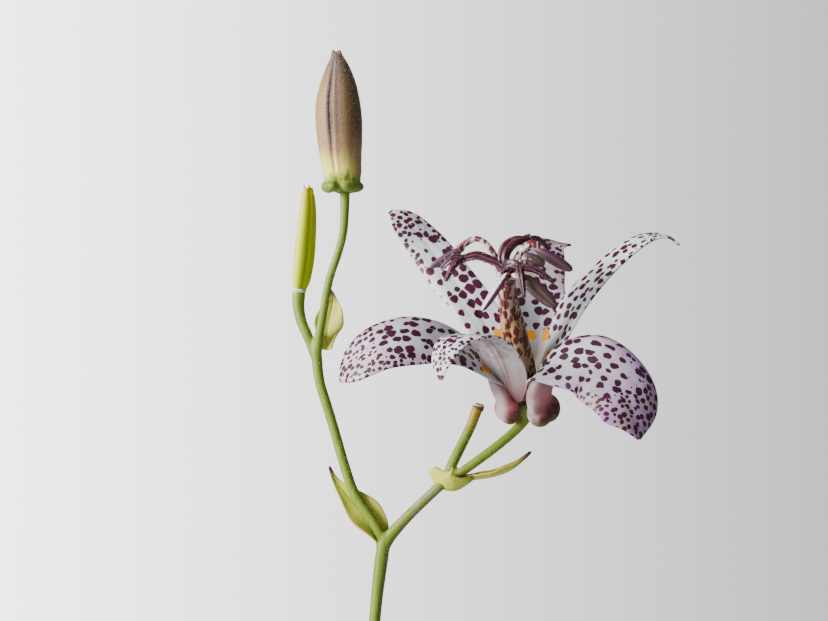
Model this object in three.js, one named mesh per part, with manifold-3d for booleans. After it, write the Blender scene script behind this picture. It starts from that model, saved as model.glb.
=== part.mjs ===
// A toad lily growing in a clay pot: one leafy stem that forks into an open spotted flower,
// a closed bud, a young seed capsule and the stub of a flower that has gone.
// Millimetres, +Z up. The origin is the middle of the pot's base, on the surface it stands on.
import * as THREE from "three";
import { mergeVertices } from "three/addons/utils/BufferGeometryUtils.js";
import Module from "manifold-3d";

// Pot
const POT_HEIGHT = 95;
const POT_BASE_RADIUS = 37.5;
const POT_NECK_RADIUS = 51.5;
const RIM_HEIGHT = 20;
const RIM_RADIUS = 57;
const RIM_DRAFT = 1.5;
const WALL = 4.2;
const FLOOR = 5;
const DRAIN_RADIUS = 6;
const FOOT_EDGE = 0.8;
const LIP_EDGE = 1.2;
const POT_SIDES = 40;

// Soil
const SOIL_TOP = 84;
const SOIL_CROWN = 2.5;
const ROOTING_DEPTH = 34;

// Plant
const CLEARANCE = 0.3;
const FACET_ROOM = 0.1;
const STEM_RADIUS = 1.3;
const BLADE_THICKNESS = 0.6;
const LEAF_THICKNESS = 0.7;
const FLOWER_PLACE = [23.6, 0, 232];
const FLOWER_TILT = 18;
const FLOWER_LEAN = 6;
const COLUMN_HEIGHT = 24;

const wasm = await Module();
wasm.setup();

// Smooth curve through the rows of a table, whatever its columns hold.
function along(rows, t) {
  const span = Math.min(Math.max(t, 0), 1) * (rows.length - 1);
  const i = Math.min(Math.floor(span), rows.length - 2);
  const w = span - i;
  const last = rows.length - 1;
  const from = rows[i];
  const to = rows[i + 1];
  const before = i > 0 ? rows[i - 1] : from.map((v, k) => 2 * v - to[k]);
  const after = i + 1 < last ? rows[i + 2] : to.map((v, k) => 2 * v - from[k]);
  return from.map((v, k) => {
    const leave = 0.5 * (to[k] - before[k]);
    const arrive = 0.5 * (after[k] - v);
    const cube = 2 * v - 2 * to[k] + leave + arrive;
    const square = -3 * v + 3 * to[k] - 2 * leave - arrive;
    return ((cube * w + square) * w + leave) * w + v;
  });
}

function geometryOf(vertices, faces) {
  const geometry = new THREE.BufferGeometry();
  geometry.setAttribute("position", new THREE.Float32BufferAttribute(vertices.flat(), 3));
  geometry.setIndex(faces.flat());
  return geometry;
}

// A round rod along rows of [x, y, z, radius], closed at both ends.
// The section function scales the radius by the angle round the rod, from the facing line.
function rod(rows, sides, steps, section = () => 1, facing = [1, 0, 0]) {
  const vertices = [];
  const faces = [];
  const normal = new THREE.Vector3(...facing);
  for (let i = 0; i <= steps; i++) {
    const [x, y, z, radius] = along(rows, i / steps);
    const ahead = along(rows, (i + 0.5) / steps);
    const behind = along(rows, (i - 0.5) / steps);
    const tangent = new THREE.Vector3(...ahead).sub(new THREE.Vector3(...behind)).normalize();
    normal.addScaledVector(tangent, -normal.dot(tangent)).normalize();
    const across = tangent.clone().cross(normal);
    for (let j = 0; j < sides; j++) {
      const angle = (2 * Math.PI * j) / sides;
      const r = radius * section(angle);
      const point = new THREE.Vector3(x, y, z)
        .addScaledVector(normal, r * Math.cos(angle))
        .addScaledVector(across, r * Math.sin(angle));
      vertices.push(point.toArray());
    }
  }
  vertices.push(rows[0].slice(0, 3), rows[rows.length - 1].slice(0, 3));
  const foot = (steps + 1) * sides;
  for (let j = 0; j < sides; j++) {
    const k = (j + 1) % sides;
    for (let i = 0; i < steps; i++) {
      const a = i * sides;
      faces.push([a + j, a + k, a + sides + k], [a + j, a + sides + k, a + sides + j]);
    }
    faces.push([foot, k, j], [foot + 1, steps * sides + j, steps * sides + k]);
  }
  return geometryOf(vertices, faces);
}

// A thin closed blade that grows out along +X from its root at the origin.
// Rows are [reach, rise, sway, half width, roll in degrees, camber]; its upper face looks up
// and in, a positive roll lifts the edge on the +Y side, and camber lifts both edges.
function blade(rows, steps, across, thickness = BLADE_THICKNESS, wave = () => 0) {
  const middle = [];
  for (let i = 0; i <= steps; i++) {
    const t = i / steps;
    const [reach, rise, sway, half, roll, camber] = along(rows, t);
    const ahead = along(rows, t + 0.5 / steps);
    const behind = along(rows, t - 0.5 / steps);
    const tangent = new THREE.Vector3(
      ahead[0] - behind[0],
      ahead[2] - behind[2],
      ahead[1] - behind[1],
    ).normalize();
    const up = tangent.clone().cross(new THREE.Vector3(0, 1, 0)).normalize();
    const side = up.clone().cross(tangent);
    const turn = THREE.MathUtils.degToRad(roll);
    const edge = side.clone().multiplyScalar(Math.cos(turn)).addScaledVector(up, Math.sin(turn));
    const face = up.clone().multiplyScalar(Math.cos(turn)).addScaledVector(side, -Math.sin(turn));
    const line = [];
    for (let j = 0; j <= across; j++) {
      const u = (2 * j) / across - 1;
      const point = new THREE.Vector3(reach, sway, rise)
        .addScaledVector(edge, Math.max(half, 0.25) * u)
        .addScaledVector(face, camber * half * u * u + wave(t, u));
      line.push(point);
    }
    middle.push(line);
  }
  const vertices = [];
  const faces = [];
  const columns = across + 1;
  const count = (steps + 1) * columns;
  for (const way of [0.5, -0.5]) {
    for (let i = 0; i <= steps; i++) {
      for (let j = 0; j <= across; j++) {
        const forward = middle[Math.min(i + 1, steps)][j].clone();
        forward.sub(middle[Math.max(i - 1, 0)][j]);
        const sideways = middle[i][Math.min(j + 1, across)].clone();
        sideways.sub(middle[i][Math.max(j - 1, 0)]);
        const lift = forward.cross(sideways).normalize().multiplyScalar(way * thickness);
        vertices.push(middle[i][j].clone().add(lift).toArray());
      }
    }
  }
  for (let i = 0; i < steps; i++) {
    for (let j = 0; j < across; j++) {
      const a = i * columns + j;
      const [b, c, d] = [a + columns, a + columns + 1, a + 1];
      faces.push([a, b, c], [a, c, d]);
      faces.push([count + a, count + c, count + b], [count + a, count + d, count + c]);
    }
  }
  const rim = [];
  for (let i = 0; i < steps; i++) rim.push(i * columns);
  for (let j = 0; j < across; j++) rim.push(steps * columns + j);
  for (let i = steps; i > 0; i--) rim.push(i * columns + across);
  for (let j = across; j > 0; j--) rim.push(j);
  rim.forEach((a, k) => {
    const b = rim[(k + 1) % rim.length];
    faces.push([a, count + a, count + b], [a, count + b, b]);
  });
  return geometryOf(vertices, faces);
}

// An egg shape from its middle, three half sizes and the line that its long Z axis follows.
function egg(centre, halfSizes, axis = [0, 0, 1], around = 9, tall = 7) {
  const geometry = new THREE.SphereGeometry(1, around, tall).rotateX(Math.PI / 2);
  geometry.scale(...halfSizes);
  const turn = new THREE.Quaternion().setFromUnitVectors(
    new THREE.Vector3(0, 0, 1),
    new THREE.Vector3(...axis).normalize(),
  );
  return geometry.applyQuaternion(turn).translate(...centre);
}

function solidOf(geometry) {
  const bare = geometry.clone();
  bare.deleteAttribute("normal");
  bare.deleteAttribute("uv");
  const merged = mergeVertices(bare, 1e-4);
  const vertProperties = merged.attributes.position.array;
  const triVerts = new Uint32Array(merged.index.array);
  return new wasm.Manifold(new wasm.Mesh({ numProp: 3, vertProperties, triVerts }));
}

// Joins overlapping closed shapes into one body.
function fuse(geometries) {
  const body = geometries.map(solidOf).reduce((whole, piece) => whole.add(piece));
  const { vertProperties, triVerts } = body.getMesh();
  const geometry = new THREE.BufferGeometry();
  geometry.setAttribute("position", new THREE.BufferAttribute(new Float32Array(vertProperties), 3));
  geometry.setIndex(new THREE.BufferAttribute(new Uint32Array(triVerts), 1));
  return geometry;
}

function named(name, geometry, colour, roughness) {
  geometry.computeVertexNormals();
  const material = new THREE.MeshStandardMaterial({ color: colour, roughness, metalness: 0 });
  const mesh = new THREE.Mesh(geometry, material);
  mesh.name = name;
  return mesh;
}

function lathe(profile, sides) {
  const points = profile.map(([radius, height]) => new THREE.Vector2(radius, height));
  return new THREE.LatheGeometry(points, sides).rotateX(Math.PI / 2);
}

const plant = new THREE.Group();

// Clay pot: tapered wall, thick rolled rim, flat floor with a drain hole.
const neckHeight = POT_HEIGHT - RIM_HEIGHT;
const taper = (POT_NECK_RADIUS - POT_BASE_RADIUS) / neckHeight;
const innerRadius = (height) => POT_BASE_RADIUS + taper * height - WALL;
const potProfile = [
  [DRAIN_RADIUS, 0],
  [POT_BASE_RADIUS - FOOT_EDGE, 0],
  [POT_BASE_RADIUS + taper * FOOT_EDGE, FOOT_EDGE],
  [POT_NECK_RADIUS, neckHeight],
  [RIM_RADIUS - RIM_DRAFT - FOOT_EDGE, neckHeight],
  [RIM_RADIUS - RIM_DRAFT, neckHeight + FOOT_EDGE],
  [RIM_RADIUS, POT_HEIGHT - LIP_EDGE],
  [RIM_RADIUS - LIP_EDGE, POT_HEIGHT],
  [innerRadius(POT_HEIGHT) + LIP_EDGE, POT_HEIGHT],
  [innerRadius(POT_HEIGHT), POT_HEIGHT - LIP_EDGE],
  [innerRadius(FLOOR), FLOOR],
  [DRAIN_RADIUS, FLOOR],
  [DRAIN_RADIUS, 0],
];
plant.add(named("pot", lathe(potProfile, POT_SIDES), 0xb5663f, 0.85));

// Soil: fills the pot to below its rim, a little crowned, with a plain hole for the stem.
const soilFoot = FLOOR + CLEARANCE;
const soilRadius = (height) => innerRadius(height) - CLEARANCE - FACET_ROOM;
const holeRadius = STEM_RADIUS + CLEARANCE + FACET_ROOM;
const holeFoot = SOIL_TOP + SOIL_CROWN - ROOTING_DEPTH;
const soilProfile = [
  [0, soilFoot],
  [soilRadius(soilFoot), soilFoot],
  [soilRadius(SOIL_TOP), SOIL_TOP],
  [soilRadius(SOIL_TOP) * 0.8, SOIL_TOP + SOIL_CROWN * 0.4],
  [soilRadius(SOIL_TOP) * 0.4, SOIL_TOP + SOIL_CROWN * 0.85],
  [holeRadius, SOIL_TOP + SOIL_CROWN],
  [holeRadius, holeFoot],
  [0, holeFoot],
];
plant.add(named("soil", lathe(soilProfile, POT_SIDES), 0x3a2c22, 1));

// Leafy stem: the main stem from its sunk foot to the first fork.
const stemFoot = holeFoot + CLEARANCE;
const stemLine = [
  [0, 0, stemFoot, STEM_RADIUS],
  [0, 0, 80, STEM_RADIUS],
  [-0.5, 0.3, 105, 1.25],
  [0.5, -0.4, 132, 1.15],
  [-0.4, 0.3, 160, 1.05],
  [0.7, 0, 182, 0.94],
  [1.85, 0, 200, 0.86],
  [2.9, 0, 209.5, 1.0],
  [3.5, 0, 212.6, 0.8],
];
const leftBranch = [
  [3.0, 0, 209.5, 0.75],
  [2.2, 0.2, 213.3, 0.8],
  [-1.0, 0.9, 218.1, 0.78],
  [-2.6, 1.3, 222.5, 0.76],
  [-3.8, 1.8, 226.6, 0.75],
  [-5.05, 2.3, 230.7, 0.75],
  [-6.3, 2.7, 234.8, 0.76],
  [-6.75, 3.0, 238.9, 0.8],
  [-6.8, 3.0, 240.2, 0.6],
];
const budStalk = [
  [-6.6, 3.0, 237.0, 0.55],
  [-6.5, 2.8, 240.2, 0.7],
  [-6.0, 2.4, 243.1, 0.66],
  [-5.1, 1.9, 248.2, 0.62],
  [-4.45, 1.6, 250.7, 0.62],
  [-3.35, 1.2, 253.9, 0.62],
  [-2.65, 1.0, 257.2, 0.63],
  [-2.5, 1.0, 261.95, 0.76],
];
// The swelling at the top of this stalk is the scar of the flower that fell.
const capsuleStalk = [
  [-7.0, 3.2, 238.0, 0.55],
  [-7.8, 3.5, 240.6, 0.74],
  [-9.0, 4.0, 243.4, 0.8],
  [-9.45, 4.4, 245.6, 0.88],
  [-9.45, 4.6, 247.0, 0.98],
  [-9.42, 4.7, 247.85, 0.98],
];
const rightBranch = [
  [2.8, 0, 209.8, 0.8],
  [4.0, 0, 212.2, 0.92],
  [7.0, 0, 215.5, 0.77],
  [11.3, 0, 219.6, 0.76],
  [12.9, 0.2, 221.0, 0.78],
  [13.6, 0.3, 221.5, 0.5],
];
const stub = [
  [12.2, 0.3, 220.2, 0.6],
  [12.95, 0.8, 222.35, 0.78],
  [14.4, 1.6, 225.2, 0.76],
  [15.85, 2.2, 228.1, 0.76],
  [16.75, 2.5, 230.45, 0.8],
  [17.03, 2.62, 231.25, 0.74],
];
// Widens into the receptacle under the open flower.
const flowerStalk = [
  [12.0, 0.0, 219.9, 0.55],
  [14.6, 0.0, 221.7, 0.7],
  [19.3, 0.3, 225.1, 0.7],
  [22.4, 0.8, 227.7, 0.72],
  [23.8, 0.8, 229.5, 0.8],
  [23.7, 0.3, 231.1, 0.95],
  [23.64, 0.12, 231.64, 1.15],
];

// Where the middle of the main stem is at a height, found by halving the line.
function stemAt(height) {
  let [below, above] = [0, 1];
  for (let k = 0; k < 20; k++) {
    const t = (below + above) / 2;
    if (along(stemLine, t)[2] < height) below = t;
    else above = t;
  }
  return along(stemLine, above).slice(0, 3);
}

function turned(geometry, azimuth, place) {
  return geometry.rotateZ(THREE.MathUtils.degToRad(azimuth)).translate(...place);
}

// A stem leaf: clasping root, long oval blade that arches over, drawn-out tip.
function leaf(height, azimuth, length, width, arch, droop) {
  const rows = [
    [-1.7, -0.2, 0, width * 0.13, 0, 0.9],
    [length * 0.05, length * 0.04, 0, width * 0.27, 0, 0.75],
    [length * 0.2, arch * 0.62, 0, width * 0.42, 3, 0.4],
    [length * 0.4, arch, 0.6, width * 0.5, 5, 0.22],
    [length * 0.6, arch * 0.92, 1.2, width * 0.44, 2, 0.16],
    [length * 0.78, arch * 0.5 - droop * 0.3, 1.2, width * 0.3, -4, 0.12],
    [length * 0.92, arch * 0.1 - droop * 0.72, 0.4, width * 0.12, -6, 0.08],
    [length, -droop, -0.6, 0.3, -6, 0],
  ];
  const ripple = (t, u) => 0.035 * width * Math.sin(9 * t + 1.3 * u + height) * u * u;
  return turned(blade(rows, 13, 4, LEAF_THICKNESS, ripple), azimuth, stemAt(height));
}

// Height on the stem, azimuth, length, width, arch and droop of each leaf.
const leaves = [
  leaf(100, 196, 73.5, 27, 17, 12),
  leaf(115, 22, 76.5, 29, 18, 14),
  leaf(130, 236, 67, 27, 16, 12),
  leaf(145, 58, 66, 25, 15, 10),
  leaf(158, 168, 60, 22, 12, 10),
  leaf(171, -16, 50, 18, 9, 8),
  leaf(182, 262, 38, 13, 6, 6),
];

// Small clasping bracts at the forks and under the flower.
const forkBract = [
  [-0.3, -0.4, 0, 0.9, -30, 0.7],
  [0.6, 2.0, 0.3, 2.0, -50, 0.5],
  [2.1, 4.2, 0.4, 2.55, -62, 0.3],
  [4.5, 6.7, 0.1, 1.5, -62, 0.3],
  [6.4, 8.9, 0, 0.5, -60, 0.2],
  [7.3, 11.0, 0, 0.25, -60, 0],
];
const upperBract = [
  [0.0, 0.0, 0, 0.7, 0, 0.6],
  [0.9, 1.9, -0.1, 1.4, 0, 0.5],
  [1.5, 3.8, -0.3, 2.2, 0, 0.3],
  [1.9, 5.7, -0.7, 1.7, 0, 0.25],
  [2.0, 7.3, -0.9, 0.7, 0, 0.2],
  [1.7, 8.9, -0.6, 0.25, 0, 0],
];
const cupBract = [
  [0.1, 2.0, 0, 1.0, 0, 1.2],
  [1.7, 0.0, 0, 1.9, 0, 1.6],
  [3.8, -0.6, 0, 2.1, 0, 1.6],
  [5.8, 0.4, 0, 1.1, 0, 1.0],
  [7.4, 1.9, 0, 0.25, 0, 0],
];
const narrowBract = [
  [0.0, 0.1, 0, 0.6, 0, 0.6],
  [2.6, 0.3, 0, 1.3, 0, 0.5],
  [5.2, 0.7, 0, 1.7, 0, 0.45],
  [8.0, 1.8, 0, 1.4, 0, 0.4],
  [10.7, 4.2, 0, 0.25, 0, 0],
];
const bracts = [
  turned(blade(forkBract, 9, 4), 172, [2.4, 1.0, 211.3]),
  turned(blade(upperBract, 9, 4), 90, [-5.3, 3.0, 239.2]),
  turned(blade(cupBract, 8, 6), 0, [9.5, 0.2, 219.6]),
  turned(blade(narrowBract, 7, 4), 3, [13.9, 0.8, 220.3]),
];

const stalks = [
  rod(stemLine, 8, 18),
  rod(leftBranch, 8, 13),
  rod(budStalk, 8, 10),
  rod(capsuleStalk, 8, 6),
  rod(rightBranch, 8, 6),
  rod(stub, 8, 6),
  rod(flowerStalk, 8, 10),
];
plant.add(named("leafy_stem", fuse([...stalks, ...leaves, ...bracts]), 0x7f9a45, 0.6));

// Closed bud: three outer petals meet in grooves, each with a small pouch at its foot.
const budGroove = (angle) => {
  const fromSeam = Math.abs(((angle * 180) / Math.PI - 17 + 360) % 120);
  return Math.min(fromSeam, 120 - fromSeam) < 8 ? 0.84 : 1;
};
const budBody = [
  [0.05, 0, 0.0, 1.2],
  [0.0, 0, 0.9, 2.2],
  [-0.2, 0, 2.4, 2.72],
  [-0.45, 0, 4.6, 2.98],
  [-0.62, 0, 7.2, 3.25],
  [-0.78, 0, 10.2, 3.4],
  [-0.9, 0, 12.8, 3.26],
  [-0.88, 0, 15.4, 2.72],
  [-0.92, 0, 17.8, 1.86],
  [-1.02, 0, 19.3, 1.1],
  [-1.1, 0, 20.9, 0.45],
];
const budSacs = [-160, -40, 80].map((azimuth) =>
  turned(egg([2, 0, 0.72], [1.05, 2.2, 0.95]), azimuth, [-0.3, 0, 0]),
);
const bud = named(
  "flower_bud",
  fuse([rod(budBody, 18, 12, budGroove), ...budSacs]),
  0x8a6a5a,
  0.7,
);
bud.position.set(-2.6, 1.0, 262.3);
plant.add(bud);

// Young seed capsule: three-angled, blunt, still green.
const threeAngled = (angle) => 1 + 0.12 * Math.cos(3 * angle);
const capsuleBody = [
  [-0.1, 0, 0.0, 0.95],
  [0.15, 0, 1.6, 1.33],
  [0.5, 0, 4.6, 1.5],
  [0.78, 0, 7.8, 1.45],
  [1.05, 0, 11.0, 1.26],
  [1.14, 0, 13.4, 1.0],
  [1.15, 0, 14.6, 0.76],
  [1.15, 0, 15.3, 0.8],
];
const capsule = named("seed_capsule", rod(capsuleBody, 12, 9, threeAngled), 0x9bb83a, 0.5);
capsule.position.set(-9.3, 4.7, 248.2);
plant.add(capsule);

// The open flower, in a frame of its own: its axis leans left and tilts forward.
const flower = new THREE.Group();
flower.position.set(...FLOWER_PLACE);
flower.rotation.set(
  THREE.MathUtils.degToRad(FLOWER_TILT),
  -THREE.MathUtils.degToRad(FLOWER_LEAN),
  0,
);
plant.add(flower);

// Outer petals are broad and spread or hang; inner petals are narrow and arch up.
const petals = [
  {
    azimuth: -38,
    rows: [
      [2.5, 3.7, -0.6, 1.5, 8, 0.3],
      [3.0, 4.4, -0.7, 2.2, 12, 0.35],
      [4.1, 5.7, -0.7, 3.0, 22, 0.2],
      [6.7, 6.8, -0.4, 4.0, 34, 0.1],
      [11.4, 6.9, 0.9, 5.1, 36, 0],
      [15.9, 4.0, 1.1, 5.1, 30, 0],
      [18.6, 0.3, 0.3, 4.2, 18, 0],
      [19.6, -2.7, -0.7, 0.25, 10, 0],
    ],
    sac: 1.04,
    neck: [
      [3.1, -0.5, -1.2, 1.7],
      [3.3, -1.0, 0.4, 2.4],
      [3.5, -1.2, 2.0, 2.7],
      [4.1, -1.2, 3.4, 2.6],
      [4.6, -1.0, 4.4, 2.0],
    ],
  },
  {
    azimuth: -160,
    rows: [
      [2.3, 1.5, -0.6, 0.9, 0, 0.3],
      [3.2, 2.8, -0.5, 1.3, -8, 0.3],
      [5.0, 5.7, -0.2, 2.6, -22, 0.2],
      [9.6, 10.4, 0.6, 3.4, -34, 0.1],
      [15.3, 13.3, 0.7, 4.3, -36, 0],
      [21.0, 13.3, 0.4, 4.1, -28, 0],
      [25.3, 10.7, -0.6, 3.1, -16, 0],
      [26.8, 8.5, -1.6, 0.3, -10, 0],
    ],
    sac: 0.9,
    neck: [
      [3.1, 0, -1.2, 1.6],
      [3.45, 0, 0.4, 2.1],
      [4.05, 0, 2.0, 2.2],
      [4.7, 0.1, 3.6, 1.9],
      [5.4, 0.2, 4.8, 1.2],
    ],
  },
  {
    azimuth: 78,
    rows: [
      [1.5, 0.4, 0, 1.5, 0, 0.3],
      [3.0, 2.2, -0.5, 2.3, 0, 0.3],
      [5.6, 4.8, -1.3, 3.3, 0, 0.25],
      [10.8, 8.2, -1.4, 4.2, 0, 0.2],
      [16.6, 11.6, -0.3, 4.2, 0, 0.1],
      [21.6, 14.6, -0.5, 3.8, 10, 0.1],
      [25.0, 15.8, -2.0, 2.4, 20, 0],
      [26.8, 15.2, -4.4, 0.25, 20, 0],
    ],
    sac: 0.96,
    neck: [
      [3.1, 0, -1.2, 1.6],
      [3.3, 0, 0.4, 2.1],
      [3.7, 0, 1.9, 2.1],
      [4.3, 0, 3.4, 1.6],
    ],
  },
  {
    azimuth: -112,
    rows: [
      [1.6, 0.3, -0.5, 0.6, 0, 0.3],
      [2.4, 2.2, -0.9, 2.2, 0, 0.3],
      [3.7, 5.6, -1.1, 3.0, 0, 0.25],
      [6.0, 10.1, -1.5, 3.0, 0, 0.1],
      [9.6, 13.3, -2.6, 2.8, 0, 0],
      [14.0, 14.1, -4.4, 2.2, 0, 0],
      [16.8, 12.1, -5.2, 1.5, 0, 0],
      [17.6, 9.6, -5.2, 0.25, 0, 0],
    ],
  },
  {
    azimuth: 26,
    rows: [
      [1.7, 0.5, -0.2, 1.1, 0, 0.3],
      [3.2, 3.4, -0.7, 1.4, 0, 0.3],
      [5.6, 7.3, -0.9, 1.9, 0, 0.2],
      [10.0, 12.5, 0.8, 3.2, 0, 0.1],
      [16.6, 16.7, 1.8, 2.9, 0, 0],
      [22.2, 19.1, 1.4, 2.15, 0, 0],
      [25.4, 19.4, -0.2, 1.0, 0, 0],
      [27.0, 17.9, -1.6, 0.25, 0, 0],
    ],
  },
  {
    azimuth: 134,
    rows: [
      [1.6, 0.5, 0, 1.2, 0, 0.3],
      [2.7, 3.6, 0.2, 1.9, -8, 0.3],
      [4.8, 8.0, 0, 2.8, -20, 0.2],
      [9.0, 13.2, -0.2, 3.1, -26, 0.1],
      [13.4, 17.0, -0.4, 3.2, -26, 0],
      [18.4, 21.0, -0.9, 2.9, -24, 0],
      [22.8, 24.2, -1.0, 2.2, -20, 0],
      [25.5, 25.2, -0.8, 0.3, -20, 0],
    ],
  },
];
// Half as thick toward the facing line as across it.
const flat = (angle) => 1 / Math.hypot(2 * Math.cos(angle), Math.sin(angle));
const petalBodies = petals.flatMap(({ azimuth, rows, sac, neck }) => {
  const pieces = [blade(rows, 14, 4)];
  // Behind its foot each outer petal bulges into a flat neck and a sac with two lobes.
  if (sac) {
    pieces.push(rod(neck.map((row) => row.map((v) => v * sac)), 10, 6, flat));
    for (const way of [-1, 1]) {
      pieces.push(egg([3.1 * sac, 0.95 * sac * way, -sac], [1.8 * sac, 1.85 * sac, 2.1 * sac]));
    }
  }
  return pieces.map((piece) => turned(piece, azimuth, [0, 0, 0]));
});
const seat = lathe([[0, 0], [1.5, 0], [2.3, 0.6], [2.0, 1.3], [0, 1.3]], 12);
flower.add(named("flower_petals", fuse([seat, ...petalBodies]), 0xeceaf0, 0.55));

// The pistil and the stamens stand in one column, which bends left as it rises.
const columnBend = [[0], [0], [-0.5], [-0.95], [-1.05], [-1.05]];
function bent(rows) {
  return rows.map(([x, y, z, radius]) => {
    const [shift] = along(columnBend, z / COLUMN_HEIGHT);
    return [x + shift, y, z, radius];
  });
}

// Pistil: ovary, style and three arms that each fork in two.
const style = [
  [0, 0, 1.6, 0.7],
  [0, 0, 4.5, 0.85],
  [0, 0, 10.0, 0.7],
  [0, 0, 15.0, 0.42],
  [0, 0, 19.5, 0.42],
  [0, 0, 20.5, 0.5],
];
const arms = [
  {
    line: [
      [-1.0, 0, 19.7, 0.45],
      [-1.8, 0.2, 20.9, 0.52],
      [-3.2, 0.5, 21.6, 0.55],
      [-4.8, 0.9, 22.2, 0.58],
      [-6.6, 1.2, 21.9, 0.5],
    ],
    tips: [[-10.1, 1.3, 20.7], [-9.6, -1.0, 19.5]],
  },
  {
    line: [
      [-1.0, 0, 19.7, 0.45],
      [-1.2, 0.6, 21.4, 0.55],
      [-0.6, 1.6, 22.6, 0.75],
      [0.8, 3.0, 23.1, 0.68],
      [2.5, 4.1, 22.8, 0.55],
    ],
    tips: [[5.6, 5.4, 20.9], [3.2, 7.6, 21.2]],
  },
  {
    line: [
      [-1.0, -0.1, 19.6, 0.45],
      [-0.6, -1.0, 20.7, 0.52],
      [0.1, -1.7, 21.2, 0.52],
      [0.9, -2.3, 20.95, 0.5],
    ],
    tips: [[5.6, -3.3, 18.4], [1.1, -5.8, 17.5]],
  },
];
const armBodies = arms.flatMap(({ line, tips }) => {
  const fork = line[line.length - 1].slice(0, 3);
  const prongs = tips.map((tip) => {
    const bow = fork.map((v, k) => (v + tip[k]) / 2 + (k === 2 ? 0.7 : 0));
    return rod([[...fork, 0.46], [...bow, 0.46], [...tip, 0.34]], 6, 4);
  });
  return [rod(line, 6, 6), ...prongs];
});
flower.add(named("flower_pistil", fuse([rod(bent(style), 8, 10), ...armBodies]), 0x6b3048, 0.6));

// Stamens: six flat filaments from one ring, which arch outward at the top, each into the
// back of its anther.
const stamens = [
  {
    azimuth: -140,
    bow: [[-1.85, -0.95, 19.2], [-1.8, -1.6, 19.7], [-1.9, -2.3, 19.0]],
    anther: [[-0.8, -1.9, 20.1], [-4.9, -3.6, 15.4]],
    radius: 0.75,
  },
  {
    azimuth: -80,
    bow: [[-0.5, -1.2, 19.0], [0.3, -1.9, 19.5], [1.4, -2.7, 19.5], [2.3, -3.3, 18.7]],
    anther: [[1.3, -3.0, 19.7], [5.4, -4.4, 15.2]],
    radius: 1.0,
  },
  {
    azimuth: -20,
    bow: [[0.4, -0.4, 19.7], [1.2, -0.5, 20.9], [2.0, -0.8, 21.7], [2.9, -1.0, 21.5]],
    anther: [[1.7, -0.9, 22.2], [4.6, -1.2, 20.5]],
    radius: 0.7,
  },
  {
    azimuth: 40,
    bow: [[0.2, 0.9, 20.2], [1.2, 1.3, 21.7], [2.3, 1.6, 22.7], [3.5, 1.5, 22.9], [4.5, 1.1, 22.0]],
    anther: [[3.5, 1.2, 22.3], [8.5, 0.2, 18.8]],
    radius: 0.95,
  },
  {
    azimuth: 100,
    bow: [[-1.2, 1.4, 19.8], [-1.3, 2.2, 20.9], [-1.3, 3.2, 21.3], [-1.5, 4.0, 20.6]],
    anther: [[-1.2, 3.0, 21.5], [-1.8, 5.9, 18.0]],
    radius: 0.85,
  },
  {
    azimuth: 160,
    bow: [[-2.1, 1.0, 19.8], [-2.3, 2.0, 21.7], [-3.4, 3.0, 23.3], [-4.7, 3.7, 23.9], [-6.0, 4.1, 23.4], [-7.4, 4.0, 22.6]],
    anther: [[-6.4, 4.1, 22.7], [-11.7, 3.4, 20.4]],
    radius: 0.6,
  },
];
const stamenBodies = stamens.flatMap(({ azimuth, bow, anther, radius }) => {
  const angle = THREE.MathUtils.degToRad(azimuth);
  const facing = [Math.cos(angle), Math.sin(angle), 0];
  const upright = [
    [1.25, 1.8, 0.45],
    [1.42, 5.0, 0.52],
    [1.3, 10.0, 0.48],
    [1.0, 15.0, 0.42],
    [0.95, 18.0, 0.4],
  ].map(([reach, z, half]) => [reach * facing[0], reach * facing[1], z, half]);
  const rows = [...bent(upright), ...bow.map((point, k) => [...point, k < 2 ? 0.38 : 0.5])];
  const [top, foot] = anther;
  const middle = top.map((v, k) => (v + foot[k]) / 2);
  const axis = foot.map((v, k) => v - top[k]);
  return [
    rod(rows, 6, rows.length + 3, flat, facing),
    egg(middle, [radius, radius, Math.hypot(...axis) / 2], axis, 8, 6),
  ];
});
const ring = lathe([[1.05, 1.6], [1.5, 1.6], [1.5, 2.2], [1.05, 2.2], [1.05, 1.6]], 12);
flower.add(named("flower_stamens", fuse([ring, ...stamenBodies]), 0x8a6f72, 0.6));

export default plant;
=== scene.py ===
import math
import random
from functools import partial

import bmesh
import bpy
from mathutils import Matrix, Vector, noise


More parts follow.
